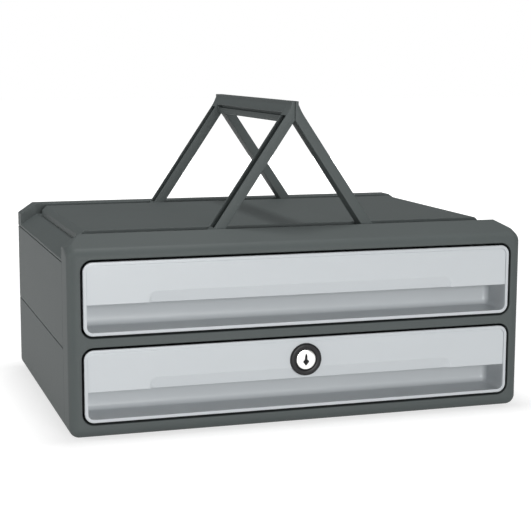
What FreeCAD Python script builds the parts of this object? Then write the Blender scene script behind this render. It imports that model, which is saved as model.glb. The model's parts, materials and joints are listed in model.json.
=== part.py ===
import FreeCAD, Part
import math
import os
import Sketcher

"""Desktop file drawer: a parametric assembly in millimetres.

The case is measured from its front face (Y = 0, going back) and from its underside (Z = 0, going up),
with X = 0 in the middle.  Every sub-part's Placement then moves it into the part's own frame, whose
origin is at the middle of the footprint, on the surface that the rubber feet stand on.
"""

V = FreeCAD.Vector

DIMENSIONS = [
    # the case
    ("case_width", 370.0, "overall width"),
    ("case_depth", 270.0, "front face to rear wall"),
    ("lower_case_height", 65.0, "lower housing module"),
    ("upper_case_height", 66.0, "upper housing module"),
    ("cover_height", 20.5, "top cover above the upper module"),
    ("case_wall", 2.5, "moulded wall of the housings and the cover"),
    ("corner_round", 8.0, "bottom corners of frame and lower module"),
    ("rear_round", 4.0, "rear vertical edges"),
    ("reveal_height", 0.6, "shadow gap in the side seams"),
    ("reveal_depth", 1.0, "shadow gap in the side seams"),
    ("foot_height", 1.5, "rubber feet below the underside"),
    ("foot_radius", 8.0, "rubber feet"),
    ("foot_recess", 1.0, "depth of the foot's seat"),
    ("foot_inset", 30.0, "foot centre from the case's sides and rear"),
    ("foot_setback", 15.0, "foot centre behind the frame"),
    # the front frame
    ("frame_depth", 26.5, "front frame, front to back"),
    ("bottom_rail", 10.1, "frame below the lower opening"),
    ("opening_height", 59.0, "each drawer opening"),
    ("mid_bar", 7.0, "frame between the openings"),
    ("stile_width", 9.4, "frame beside the openings"),
    ("opening_round", 9.0, "corner radius of the openings"),
    ("frame_front_wall", 5.0, "frame's front wall"),
    ("frame_brow", 141.5, "height where the front face turns into the sloped top"),
    ("brow_round", 9.0, "radius of that turn"),
    ("frame_edge_round", 7.6, "front outer edge of the frame"),
    ("opening_edge_round", 0.8, "front edges of the openings"),
    ("collar_wall", 2.2, "collar round each opening"),
    ("mid_bar_depth", 18.0, "middle bar, front to back"),
    ("tab_rise", 8.0, "snap tabs above the sills"),
    ("tab_height", 9.0, "snap tab"),
    ("tab_thickness", 2.2, "snap tab"),
    ("tab_length", 13.5, "snap tab behind the frame"),
    # the shoulders of the case, which the folded handle fills
    ("shoulder_run", 13.0, "bevel of the top corners, sideways"),
    ("shoulder_rise", 8.8, "bevel of the top corners, upwards"),
    ("ledge_rise", 2.0, "ledge's outer edge above the cover's seam"),
    ("ledge_drop", 9.0, "groove floor below the top face"),
    # inside the modules
    ("rib_height", 5.0, "ribs on the floors"),
    ("rib_thickness", 2.0, "ribs on the floors"),
    ("rib_inset", 30.0, "first rib behind the frame"),
    ("bracket_thickness", 5.0, "brackets that carry the cover"),
    ("boss_front", 33.5, "joining screws behind the frame"),
    ("boss_rear", 40.0, "joining screws from the rear"),
    # the top cover
    ("cheek", 1.5, "wall between the front frame and the front groove"),
    ("cheek_drop", 1.2, "cheek below the frame's top edge"),
    ("groove_width", 16.3, "groove for the bail's legs"),
    ("rim_depth", 21.8, "rear rim"),
    ("platform_inset", 16.7, "platform's side from the case side"),
    ("platform_bevel", 4.0, "bevel along the platform's sides"),
    ("pin_boss_radius", 4.5, "boss round a hinge pin"),
    ("pin_boss_length", 6.0, "boss inside the platform"),
    ("post_radius", 4.5, "screw post under the ledge"),
    ("post_height", 4.0, "screw post under the ledge"),
    # the handle
    ("leg_width", 14.8, "bail leg along the case's depth"),
    ("leg_thickness", 8.1, "bail leg"),
    ("leg_clearance", 0.3, "under a folded leg"),
    ("grip_top", 2.8, "bail at its top edge, from the meeting face"),
    ("flare_start", 2.5, "upright part of the bail's outer side below the top edge"),
    ("flare_angle", 12.0, "degrees between the flare's upper end and the leg"),
    ("flare_flat", 0.6, "straight upper end of the flare"),
    ("grip_lip", 9.5, "thick part of the crossbar, downwards"),
    ("grip_lip_depth", 6.2, "crossbar at the lip's lower edge"),
    ("grip_web", 3.4, "thin part of the crossbar"),
    ("grip_height", 17.0, "crossbar, downwards"),
    ("bail_inset", 0.3, "folded crossbar inside the case outline"),
    ("meeting_gap", 0.3, "between the two raised bails"),
    ("channel_wall", 1.5, "walls of the hollow legs"),
    ("channel_depth", 4.5, "hollow under the legs"),
    ("pin_radius", 2.0, "hinge pins"),
    ("pin_clearance", 0.1, "bail bore round the pin, radial"),
    # the drawers
    ("drawer_gap", 1.7, "drawer front to frame, all round"),
    ("lip_width", 2.6, "lip round the drawer front"),
    ("lip_depth", 12.0, "drawer front ring, front to back"),
    ("lip_round", 0.9, "front edges of that ring"),
    ("panel_thickness", 3.0, "face panel"),
    ("panel_setback", 0.5, "panel behind the lip's front edge"),
    ("panel_clearance", 0.1, "panel in its seat"),
    ("panel_shoulder", 1.5, "shoulder behind the panel"),
    ("pull_height", 20.8, "open height of the finger pull"),
    ("pull_depth", 32.0, "finger pull, front to back"),
    ("pull_hook", 4.0, "hand room behind the panel's lower edge"),
    ("pull_round", 4.5, "rear edges of the finger pull"),
    ("tray_wall", 2.0, "walls of the tray"),
    ("tray_side_gap", 14.5, "tray to side wall"),
    ("tray_height", 48.0, "tray body"),
    ("tray_rise", 0.8, "tray floor above the front's lower edge"),
    ("tray_round", 6.0, "lower corners of the tray"),
    ("tray_rear_gap", 5.5, "tray to rear wall"),
    ("scoop_half_width", 112.0, "scoop at the panel's lower edge"),
    ("scoop_height", 8.5, "scoop"),
    ("scoop_depth", 1.8, "scoop"),
    ("scoop_round", 6.0, "scoop's upper corners"),
    # the slides
    ("runner_height", 24.0, "runner's underside above the tray's"),
    ("runner_thickness", 2.5, "runner"),
    ("runner_reach", 6.5, "runner beyond the tray's side"),
    ("rail_clearance", 0.3, "runner in its rail, above and below"),
    ("rail_wall", 2.0, "rail section"),
    ("rail_overlap", 4.5, "rail's grip on the runner"),
    ("rail_end_gap", 1.5, "rail behind the drawer's front block"),
    ("rail_rear_gap", 4.0, "rail to rear wall"),
    ("rail_screw_inset", 28.0, "rail screws from the rail's ends"),
    ("stop_length", 3.0, "stop at the rail's front end"),
    ("stop_gap", 0.6, "runner's edge to the stop"),
    ("drawer_travel", 190.0, "how far a drawer opens"),
    ("lug_reach", 4.0, "runner's stop lug"),
    ("lug_length", 6.0, "runner's stop lug"),
    ("stop_cushion", 1.5, "stop lug to stop when fully open"),
    # the lock
    ("lock_height", 40.1, "lock above the lower opening's sill"),
    ("lock_proud", 2.0, "lock ring before the frame's face"),
    ("ring_radius", 13.5, "lock ring"),
    ("ring_chamfer", 1.0, "lock ring's front edge"),
    ("plug_face_radius", 7.8, "plug's face"),
    ("plug_gap", 0.3, "plug's face in the ring"),
    ("plug_setback", 0.7, "plug's face behind the ring's front"),
    ("plug_radius", 5.5, "plug's shank"),
    ("plug_clearance", 0.05, "shank in the barrel, radial"),
    ("barrel_radius", 8.0, "lock barrel"),
    ("barrel_end", 19.2, "barrel's rear end from the front face"),
    ("cam_length", 22.0, "cam, from the lock's axis"),
    ("cam_width", 10.0, "cam"),
    ("cam_thickness", 2.0, "cam"),
    ("cam_gap", 0.3, "cam behind the barrel"),
    ("keyway_width", 1.6, "keyway"),
    ("keyway_height", 9.0, "keyway"),
    ("keyway_wing", 2.3, "side notches of the keyway, from its middle"),
    ("keyway_wing_drop", 1.4, "side notches below the lock's axis"),
    ("keyway_depth", 6.0, "keyway"),
    # the screws
    ("screw_radius", 1.5, "shank of the case screws"),
    ("screw_head_radius", 3.2, "head"),
    ("screw_head_height", 1.8, "head"),
    ("screw_length", 12.0, "shank"),
    ("screw_taper", 0.7, "head's face to its underside, as a ratio"),
    ("cover_screw_length", 8.5, "shank of the cover screws"),
    ("screw_tip_gap", 0.5, "blind bore past the screw"),
    ("screw_boss", 11.5, "side of a screw boss"),
    ("rail_screw_radius", 0.8, "rail screws"),
    ("rail_screw_head", 1.4, "head of a rail screw"),
    ("rail_screw_head_height", 0.9, "head of a rail screw"),
    ("rail_screw_grip", 1.6, "rail screw in the case wall"),
]

doc = FreeCAD.newDocument("desktop_file_drawer")
sheet = doc.addObject("Spreadsheet::Sheet", "dims")
for row, (alias, size, meaning) in enumerate(DIMENSIONS, 1):
    sheet.set(f"A{row}", alias)
    sheet.set(f"B{row}", str(size))
    sheet.setAlias(f"B{row}", alias)
    sheet.set(f"C{row}", meaning)
doc.recompute()


# ---------------------------------------------------------------- sizes that follow from the sheet

def total(*terms):
    """Expression for a sum of terms; a term that starts with a minus is taken off."""
    return "(" + " + ".join(f"({term})" for term in terms) + ")"


OVERCUT = "1"  # how far a cut runs past the surface that it opens, and a joined block into its neighbour
HALF_WIDTH = "(dims.case_width / 2)"
SEAM_LOW = "dims.lower_case_height"
SEAM_HIGH = total("dims.lower_case_height", "dims.upper_case_height")
TOP = total(SEAM_HIGH, "dims.cover_height")
SHOULDER = total(TOP, "-dims.shoulder_rise")
OPENING_HALF = total(HALF_WIDTH, "-dims.stile_width")
LOWER_SILL = "dims.bottom_rail"
UPPER_SILL = total("dims.bottom_rail", "dims.opening_height", "dims.mid_bar")
CASE_INNER = total(HALF_WIDTH, "-dims.case_wall")
REAR_INNER = total("dims.case_depth", "-dims.case_wall")

# slope of the shoulders: its tangent, sine and cosine
SLOPE = "(dims.shoulder_rise / dims.shoulder_run)"
BEVEL = "sqrt(dims.shoulder_rise ^ 2 + dims.shoulder_run ^ 2)"
SLOPE_SIN = f"(dims.shoulder_rise / {BEVEL})"
SLOPE_COS = f"(dims.shoulder_run / {BEVEL})"

# top cover
LEDGE = total(TOP, "-dims.ledge_drop")
LEDGE_EDGE = total(SEAM_HIGH, "dims.ledge_rise")
LEDGE_HALF = total(HALF_WIDTH, f"-(dims.cover_height - dims.ledge_drop - dims.ledge_rise) / {SLOPE}")
GROOVE_FRONT = total("dims.frame_depth", "dims.cheek")
PLATFORM_FRONT = total(GROOVE_FRONT, "dims.groove_width")
RIM_FRONT = total("dims.case_depth", "-dims.rim_depth")
PLATFORM_REAR = total(RIM_FRONT, "-dims.groove_width")
PLATFORM_HALF = total(HALF_WIDTH, "-dims.platform_inset")

# handle: folded, its crossbar lies in the shoulder; raised, the same face stands upright at X = 0
LEG_HALF = "(dims.leg_thickness / 2)"
PIVOT_Z = total(LEDGE, "dims.leg_clearance", LEG_HALF)
PIVOT_X = (f"(({SLOPE_SIN} * {HALF_WIDTH} + {SLOPE_COS} * ({SHOULDER} - {PIVOT_Z})"
           f" - dims.bail_inset + dims.meeting_gap / 2) / (1 + {SLOPE_SIN}))")
FACE = total(PIVOT_X, "-dims.meeting_gap / 2")
LEG_PLAY = "((dims.groove_width - dims.leg_width) / 2)"
FRONT_LEG = total(GROOVE_FRONT, LEG_PLAY)
REAR_LEG = total(PLATFORM_REAR, LEG_PLAY)
RAISED_ANGLE = f"(90 deg + atan({SLOPE}))"
FLARE = "(dims.flare_angle * 1 deg)"

# drawers: heights are measured from the sill of their opening
FRONT_HALF = total(OPENING_HALF, "-dims.drawer_gap")
FRONT_ROUND = total("dims.opening_round", "-dims.drawer_gap")
WINDOW_HALF = total(FRONT_HALF, "-dims.lip_width")
WINDOW_ROUND = total(FRONT_ROUND, "-dims.lip_width")
FRONT_LOW = "dims.drawer_gap"
FRONT_HIGH = total("dims.opening_height", "-dims.drawer_gap")
PULL_FLOOR = total(FRONT_LOW, "dims.lip_width")
PANEL_EDGE = total(PULL_FLOOR, "dims.pull_height")
PULL_ROOF = total(PANEL_EDGE, "dims.pull_hook")
WINDOW_HIGH = total(FRONT_HIGH, "-dims.lip_width")
PANEL_BACK = total("dims.panel_setback", "dims.panel_thickness")
TRAY_LOW = total(FRONT_LOW, "dims.tray_rise")
TRAY_HIGH = total(TRAY_LOW, "dims.tray_height")
PULL_BACK = total("dims.pull_depth", "dims.tray_wall")
TRAY_REAR = total(REAR_INNER, "-dims.tray_rear_gap")
TRAY_HALF = total(CASE_INNER, "-dims.tray_side_gap")
RUNNER_LOW = total(TRAY_LOW, "dims.runner_height")
RUNNER_HIGH = total(RUNNER_LOW, "dims.runner_thickness")
RUNNER_HALF = total(TRAY_HALF, "dims.runner_reach")
RAIL_LOW = total(RUNNER_LOW, "-dims.rail_clearance", "-dims.rail_wall")
RAIL_HIGH = total(RUNNER_HIGH, "dims.rail_clearance", "dims.rail_wall")
RAIL_FRONT = total(f"max(dims.frame_depth; {PULL_BACK})", "dims.rail_end_gap")
RAIL_LENGTH = total(REAR_INNER, "-dims.rail_rear_gap", f"-{RAIL_FRONT}")
RUNNER_MID = total(RUNNER_LOW, "dims.runner_thickness / 2")
RAIL_INNER = total(RUNNER_HALF, "-dims.rail_overlap")
STOP_REAR = total(RAIL_FRONT, "dims.stop_length")

# lock, along its axis from the front face (negative is in front of it)
LOCK_Z = total(LOWER_SILL, "dims.lock_height")
CAM_FRONT = total("dims.barrel_end", "dims.cam_gap")
CAM_REAR = total(CAM_FRONT, "dims.cam_thickness")


def size(expression):
    """Current value of an expression over the sheet."""
    result = sheet.evalExpression(str(expression))
    return float(getattr(result, "Value", result))


# ---------------------------------------------------------------- sketches and features

NODES = []


def node(obj, label, x="0", y="0", z="0", turn=None):
    """Label a sub-part and place it; x, y and z are in the case's own measures."""
    obj.Label = label
    if turn is not None:
        obj.Placement = FreeCAD.Placement(V(), FreeCAD.Rotation(V(0, 1, 0), 1.0))
        obj.setExpression("Placement.Rotation.Angle", turn)
    obj.setExpression("Placement.Base.x", x)
    obj.setExpression("Placement.Base.y", total(y, "-(dims.case_depth - dims.lock_proud) / 2"))
    obj.setExpression("Placement.Base.z", total(z, "dims.foot_height"))
    NODES.append(obj)
    return obj


def new_body(name):
    """A PartDesign body."""
    return doc.addObject("PartDesign::Body", name)


def new_sketch(body, name, plane, offset):
    """A sketch on one of the body's own origin planes, moved along the plane's normal."""
    sketch = body.newObject("Sketcher::SketchObject", name)
    origin_plane = next(f for f in body.Origin.OriginFeatures if f.Role == plane)
    sketch.AttachmentSupport = (origin_plane, [""])
    sketch.MapMode = "FlatFace"
    sketch.setExpression("AttachmentOffset.Base.z", offset)
    return sketch


def front_sketch(body, name, y="0"):
    """Front view: sketch x is X and sketch y is Z, in the plane at this Y."""
    return new_sketch(body, name, "XZ_Plane", f"-({y})")


def plan_sketch(body, name, z="0"):
    """Plan view: sketch x is X and sketch y is Y, in the plane at this Z."""
    return new_sketch(body, name, "XY_Plane", z)


def side_sketch(body, name, x="0"):
    """Side view: sketch x is Y and sketch y is Z, in the plane at this X."""
    return new_sketch(body, name, "YZ_Plane", x)


def bind(sketch, index, name, expression):
    """Name a sketch constraint and bind it to the sheet."""
    sketch.renameConstraint(index, name)
    sketch.setExpression(f"Constraints.{name}", expression)


def corner_cut(before, corner, after, radius):
    """Tangent points and centre of an arc that rounds a corner."""
    to_before = (before - corner).normalize()
    to_after = (after - corner).normalize()
    half = to_before.getAngle(to_after) / 2
    reach = radius / math.tan(half)
    centre = corner + (to_before + to_after).normalize() * (radius / math.sin(half))
    return corner + to_before * reach, corner + to_after * reach, centre


def outline(sketch, corners, tag="p"):
    """Closed outline through corners (x, y) or (x, y, radius), each bound to its expression."""
    count = len(corners)
    points = [V(size(c[0]), size(c[1]), 0) for c in corners]
    leave, arrive, rounds = list(points), list(points), {}
    for i, corner in enumerate(corners):
        if len(corner) == 3:
            cut = corner_cut(points[i - 1], points[i], points[(i + 1) % count], size(corner[2]))
            arrive[i], leave[i], rounds[i] = cut
    sides = [sketch.addGeometry(Part.LineSegment(leave[i], arrive[(i + 1) % count])) for i in range(count)]
    for i, corner in enumerate(corners):
        into, out = sides[i - 1], sides[i]
        if i in rounds:
            bind_round(sketch, corner, points[i], (arrive[i], leave[i], rounds[i]), (into, out), f"{tag}{i}")
            continue
        sketch.addConstraint(Sketcher.Constraint("Coincident", into, 2, out, 1))
        bind_point(sketch, out, 1, corner, f"{tag}{i}")


def bind_point(sketch, geometry, vertex, corner, tag):
    """Hold a point at its distances from the sketch origin."""
    for axis, kind in enumerate(("DistanceX", "DistanceY")):
        held = Sketcher.Constraint(kind, -1, 1, geometry, vertex, size(corner[axis]))
        bind(sketch, sketch.addConstraint(held), tag + "xy"[axis], corner[axis])


def bind_round(sketch, corner, point, cut, sides, tag):
    """Round a corner: an arc tangent to both sides, whose virtual corner is held in place."""
    start, end, centre = cut
    radius = (start - centre).Length
    first = math.atan2(start.y - centre.y, start.x - centre.x)
    last = math.atan2(end.y - centre.y, end.x - centre.x)
    turn = (last - first) % (2 * math.pi)
    forward = turn < math.pi
    circle = Part.Circle(centre, V(0, 0, 1), radius)
    arc = Part.ArcOfCircle(circle, first, last) if forward else Part.ArcOfCircle(circle, last, first)
    index = sketch.addGeometry(arc)
    near, far = (1, 2) if forward else (2, 1)
    mark = sketch.addGeometry(Part.Point(point), True)
    into, out = sides
    sketch.addConstraint(Sketcher.Constraint("Tangent", into, 2, index, near))
    sketch.addConstraint(Sketcher.Constraint("Tangent", index, far, out, 1))
    sketch.addConstraint(Sketcher.Constraint("PointOnObject", mark, 1, into))
    sketch.addConstraint(Sketcher.Constraint("PointOnObject", mark, 1, out))
    bind_point(sketch, mark, 1, corner, tag)
    bind(sketch, sketch.addConstraint(Sketcher.Constraint("Radius", index, radius)), tag + "r", corner[2])


def box_outline(sketch, x0, x1, y0, y1, radius=None, tag="p"):
    """Rectangle between two sides and two levels, with rounded corners where a radius is given."""
    corners = [(x0, y0), (x1, y0), (x1, y1), (x0, y1)]
    if radius:
        corners = [corner + (radius,) for corner in corners]
    outline(sketch, corners, tag)


def circle(sketch, x, y, radius, tag="c"):
    """Circle held at its centre."""
    shape = Part.Circle(V(size(x), size(y), 0), V(0, 0, 1), size(radius))
    index = sketch.addGeometry(shape)
    bind_point(sketch, index, 3, (x, y), tag)
    bind(sketch, sketch.addConstraint(Sketcher.Constraint("Radius", index, size(radius))), tag + "r", radius)


def pad(body, sketch, length, reverse=False):
    """Pad a sketch; a front sketch is padded towards the rear when reverse is set."""
    feature = body.newObject("PartDesign::Pad", sketch.Name + "_pad")
    feature.Profile = sketch
    feature.Reversed = reverse
    feature.setExpression("Length", length)
    return feature


def pocket(body, sketch, length=None, reverse=False):
    """Cut a sketch away: front sketches cut towards the rear, plan sketches cut downwards."""
    feature = body.newObject("PartDesign::Pocket", sketch.Name + "_pocket")
    feature.Profile = sketch
    feature.Reversed = reverse
    if length is None:
        feature.Type = "ThroughAll"
    else:
        feature.setExpression("Length", length)
    return feature


def dress(body, kind, amount, wanted):
    """Fillet or chamfer the edges whose middle point and direction pass the test."""
    doc.recompute()
    base = body.Tip
    names = []
    for number, edge in enumerate(base.Shape.Edges, 1):
        middle = edge.valueAt((edge.FirstParameter + edge.LastParameter) / 2)
        along = edge.tangentAt((edge.FirstParameter + edge.LastParameter) / 2)
        if wanted(middle, along, edge):
            names.append(f"Edge{number}")
    feature = body.newObject(f"PartDesign::{kind}", f"{body.Name}_{kind.lower()}{len(body.Group)}")
    feature.Base = (base, names)
    feature.setExpression("Radius" if kind == "Fillet" else "Size", amount)
    return feature


SIDES = (("left", -1), ("right", 1))


def across(side, inner, outer):
    """The two X values of something on one side of the case, in rising order."""
    return sorted((f"{side} * {inner}", f"{side} * {outer}"), key=size)


def near(a, b, slack=0.01):
    """True when two sizes agree."""
    return abs(a - b) < slack


def mirrored(points):
    """The points and their mirror images across X = 0, in order round the outline."""
    return points + [(f"-({x})",) + tuple(rest) for x, *rest in reversed(points)]


# ---------------------------------------------------------------- front frame

def above_shoulders(drop):
    """Outline of what lies above the case's top and bevelled corners, lowered by a drop."""
    outside = total(HALF_WIDTH, OVERCUT)
    return mirrored([
        (outside, total(TOP, OVERCUT)),
        (outside, total(SHOULDER, f"-{SLOPE} * {OVERCUT}", f"-({drop})")),
        (total(HALF_WIDTH, "-dims.shoulder_run"), total(TOP, f"-({drop})")),
    ])


def opening_outlines(sketch, grow="0"):
    """Both drawer openings, grown by a margin."""
    for tag, sill in (("low", LOWER_SILL), ("high", UPPER_SILL)):
        half = total(OPENING_HALF, grow)
        floor = total(sill, f"-({grow})")
        roof = total(sill, "dims.opening_height", grow)
        box_outline(sketch, f"-{half}", half, floor, roof, total("dims.opening_round", grow), tag)


def front_frame():
    """Frame round both drawers: sloped brow, bevelled top corners, a collar in each opening."""
    body = new_body("FrontFrame")
    section = side_sketch(body, "frame_section", f"-{HALF_WIDTH}")
    outline(section, [("0", "0"), ("dims.frame_depth", "0"), ("dims.frame_depth", TOP),
                      ("0", "dims.frame_brow", "dims.brow_round")])
    pad(body, section, "dims.case_width")
    corners = front_sketch(body, "frame_corners", f"-{OVERCUT}")
    outline(corners, above_shoulders("0"))
    pocket(body, corners)
    dress(body, "Fillet", "dims.corner_round",
          lambda m, t, e: near(abs(m.x), size(HALF_WIDTH)) and near(m.z, 0) and abs(t.y) > 0.9)
    dress(body, "Fillet", "dims.frame_edge_round",
          lambda m, t, e: near(m.y, 0) and m.z < size("dims.frame_brow") - size("dims.brow_round")
          and abs(t.y) < 0.1)
    openings = front_sketch(body, "frame_openings", f"-{OVERCUT}")
    opening_outlines(openings)
    pocket(body, openings)
    half = size(total(OPENING_HALF, OVERCUT))
    lowest = size(total(LOWER_SILL, f"-{OVERCUT}"))
    highest = size(total(UPPER_SILL, "dims.opening_height", OVERCUT))
    dress(body, "Fillet", "dims.opening_edge_round",
          lambda m, t, e: near(m.y, 0) and abs(m.x) < half and lowest < m.z < highest)
    hollow = front_sketch(body, "frame_hollow", "dims.frame_front_wall")
    wall = "dims.case_wall"
    box_outline(hollow, f"-{CASE_INNER}", CASE_INNER, wall, total("dims.frame_brow", f"-{wall}"))
    opening_outlines(hollow, "dims.collar_wall")
    pocket(body, hollow)
    brow = side_sketch(body, "frame_brow_hollow", f"-{total(HALF_WIDTH, '-dims.shoulder_run', f'-{wall}')}")
    brow_low = total("dims.frame_brow", f"-{wall}", f"-{OVERCUT}")
    behind = total("dims.frame_depth", OVERCUT)
    outline(brow, [("dims.brow_round", brow_low), (behind, brow_low), (behind, total(TOP, f"-{wall}")),
                   ("dims.brow_round", "dims.frame_brow")])
    pocket(body, brow, total("dims.case_width", "-2 * dims.shoulder_run", f"-2 * {wall}"), reverse=True)
    rebate = front_sketch(body, "mid_bar_rebate", "dims.mid_bar_depth")
    box_outline(rebate, f"-{OPENING_HALF}", OPENING_HALF,
                total(LOWER_SILL, "dims.opening_height", "-dims.collar_wall"),
                total(UPPER_SILL, "dims.collar_wall"))
    pocket(body, rebate)
    outer = total(CASE_INNER, "-dims.rail_clearance")
    for level, sill in (("low", LOWER_SILL), ("high", UPPER_SILL)):
        for mark, side in SIDES:
            tab = front_sketch(body, f"tab_{level}_{mark}", total("dims.frame_front_wall", f"-{OVERCUT}"))
            low = total(sill, "dims.tab_rise")
            box_outline(tab, *across(side, total(outer, "-dims.tab_thickness"), outer),
                        low, total(low, "dims.tab_height"))
            length = total("dims.frame_depth", "-dims.frame_front_wall", OVERCUT, "dims.tab_length")
            pad(body, tab, length, True)
    return node(body, "front_frame")


# ---------------------------------------------------------------- case modules

BOSS_Y = {"front": total("dims.frame_depth", "dims.boss_front"),
          "rear": total("dims.case_depth", "-dims.boss_rear")}
BOSS_X = total(CASE_INNER, "-dims.screw_boss / 2")


def boss_blocks(body, tag, z, height, bore):
    """Four square screw bosses on the side walls, with their bores."""
    edge = "dims.screw_boss / 2"
    for place, x, y in boss_places():
        block = plan_sketch(body, f"{tag}_{place}", z)
        side = -1 if size(x) < 0 else 1
        inner, outer = across(side, total(CASE_INNER, "-dims.screw_boss"), total(CASE_INNER, OVERCUT))
        box_outline(block, inner, outer, total(y, f"-{edge}"), total(y, edge))
        pad(body, block, height)
        hole = plan_sketch(body, f"{tag}_{place}_bore", total(z, height))
        circle(hole, x, y, bore)
        pocket(body, hole, height)


def rail_screw_bores(body, tag, sill):
    """Blind bores in the side walls for the rails' screws."""
    for mark, side in SIDES:
        bores = side_sketch(body, f"{tag}_{mark}_rail_bores", f"{side} * {CASE_INNER}")
        for place, y in rail_screw_places():
            circle(bores, y, total(sill, RUNNER_MID), "dims.rail_screw_radius", place)
        pocket(body, bores, "dims.rail_screw_grip", reverse=side > 0)


def case_shell(name, base, height, corner_round):
    """Housing module: floor, two side walls and a rear wall, open at the front and the top."""
    body = new_body(name)
    depth = total("dims.case_depth", "-dims.frame_depth")
    top = total(base, height)
    rim = total(top, "-dims.reveal_height")
    shell = front_sketch(body, name + "_block", "dims.frame_depth")
    foot = (corner_round,) if corner_round else ()
    outline(shell, [(f"-{HALF_WIDTH}", base) + foot, (HALF_WIDTH, base) + foot,
                    (HALF_WIDTH, rim), (f"-{HALF_WIDTH}", rim)])
    pad(body, shell, depth, reverse=True)
    dress(body, "Fillet", "dims.rear_round",
          lambda m, t, e: near(abs(m.x), size(HALF_WIDTH)) and near(m.y, size("dims.case_depth"))
          and abs(t.z) > 0.9)
    spigot = plan_sketch(body, name + "_spigot", total(rim, f"-{OVERCUT}"))
    inset = total(HALF_WIDTH, "-dims.reveal_depth")
    rear = total("dims.case_depth", "-dims.reveal_depth")
    rear_corner = total("dims.rear_round", "-dims.reveal_depth")
    outline(spigot, [(f"-{inset}", "dims.frame_depth"), (inset, "dims.frame_depth"),
                     (inset, rear, rear_corner), (f"-{inset}", rear, rear_corner)])
    pad(body, spigot, total("dims.reveal_height", OVERCUT))
    room = front_sketch(body, name + "_room", total("dims.frame_depth", f"-{OVERCUT}"))
    floor = total(base, "dims.case_wall")
    inner = (total("dims.corner_round", "-dims.case_wall"),) if corner_round else ()
    outline(room, [(f"-{CASE_INNER}", floor) + inner, (CASE_INNER, floor) + inner,
                   (CASE_INNER, total(top, OVERCUT)), (f"-{CASE_INNER}", total(top, OVERCUT))])
    pocket(body, room, total(depth, OVERCUT, "-dims.case_wall"))
    return body


def floor_ribs(body, tag, base, count):
    """Stiffening ribs across the floor, in a row from front to rear."""
    rib = plan_sketch(body, tag, total(base, "dims.case_wall / 2"))
    first = total("dims.frame_depth", "dims.rib_inset")
    half = total(TRAY_HALF, "-dims.tray_round")
    box_outline(rib, f"-{half}", half, first, total(first, "dims.rib_thickness"))
    feature = pad(body, rib, total("dims.case_wall / 2", "dims.rib_height"))
    doc.recompute()
    row = body.newObject("PartDesign::LinearPattern", tag + "_row")
    row.Originals = [feature]
    row.Direction = (next(f for f in body.Origin.OriginFeatures if f.Role == "Y_Axis"), [""])
    row.setExpression("Length", total(REAR_INNER, f"-{first}", "-dims.rib_inset"))
    row.Occurrences = count
    body.Tip = row


def lower_case():
    """Lower housing module, with seats for the feet and bosses for the joining screws."""
    body = case_shell("LowerCase", "0", "dims.lower_case_height", "dims.corner_round")
    floor_ribs(body, "lower_ribs", "0", 4)
    boss_blocks(body, "lower_boss", total(SEAM_LOW, "-dims.screw_boss"), "dims.screw_boss", "dims.screw_radius")
    seats = plan_sketch(body, "foot_seats")
    for tag, x, y in foot_places():
        circle(seats, x, y, "dims.foot_radius", tag)
    pocket(body, seats, "dims.foot_recess", reverse=True)
    rail_screw_bores(body, "lower", LOWER_SILL)
    return node(body, "lower_case")


def upper_case():
    """Upper housing module: its floor is the shelf between the drawers."""
    body = case_shell("UpperCase", SEAM_LOW, "dims.upper_case_height", None)
    floor_ribs(body, "upper_ribs", SEAM_LOW, 4)
    shelf_holes = plan_sketch(body, "shelf_holes", total(SEAM_LOW, "dims.case_wall"))
    for tag, x, y in boss_places():
        circle(shelf_holes, x, y, "dims.screw_radius", tag)
    pocket(body, shelf_holes, "dims.case_wall")
    boss_blocks(body, "upper_boss", total(SEAM_HIGH, "-dims.bracket_thickness"), "dims.bracket_thickness",
                "dims.screw_radius")
    rail_screw_bores(body, "upper", UPPER_SILL)
    return node(body, "upper_case")


def foot_places():
    """Centres of the four feet."""
    x = total(HALF_WIDTH, "-dims.foot_inset")
    front = total("dims.frame_depth", "dims.foot_setback")
    rear = total("dims.case_depth", "-dims.foot_inset")
    return [("fl", f"-{x}", front), ("fr", x, front), ("rl", f"-{x}", rear), ("rr", x, rear)]


def boss_places():
    """Centres of the four screw bosses."""
    return [(f"{place[0]}{mark}", f"{side} * {BOSS_X}", y)
            for place, y in BOSS_Y.items() for mark, side in (("l", -1), ("r", 1))]


# ---------------------------------------------------------------- top cover

def ledge_line(x, drop):
    """Height of the sloped ledge at X, less a drop measured square to it."""
    return total(LEDGE_EDGE, f"({HALF_WIDTH} - ({x})) * {SLOPE}", f"-({drop}) / {SLOPE_COS}")


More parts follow.
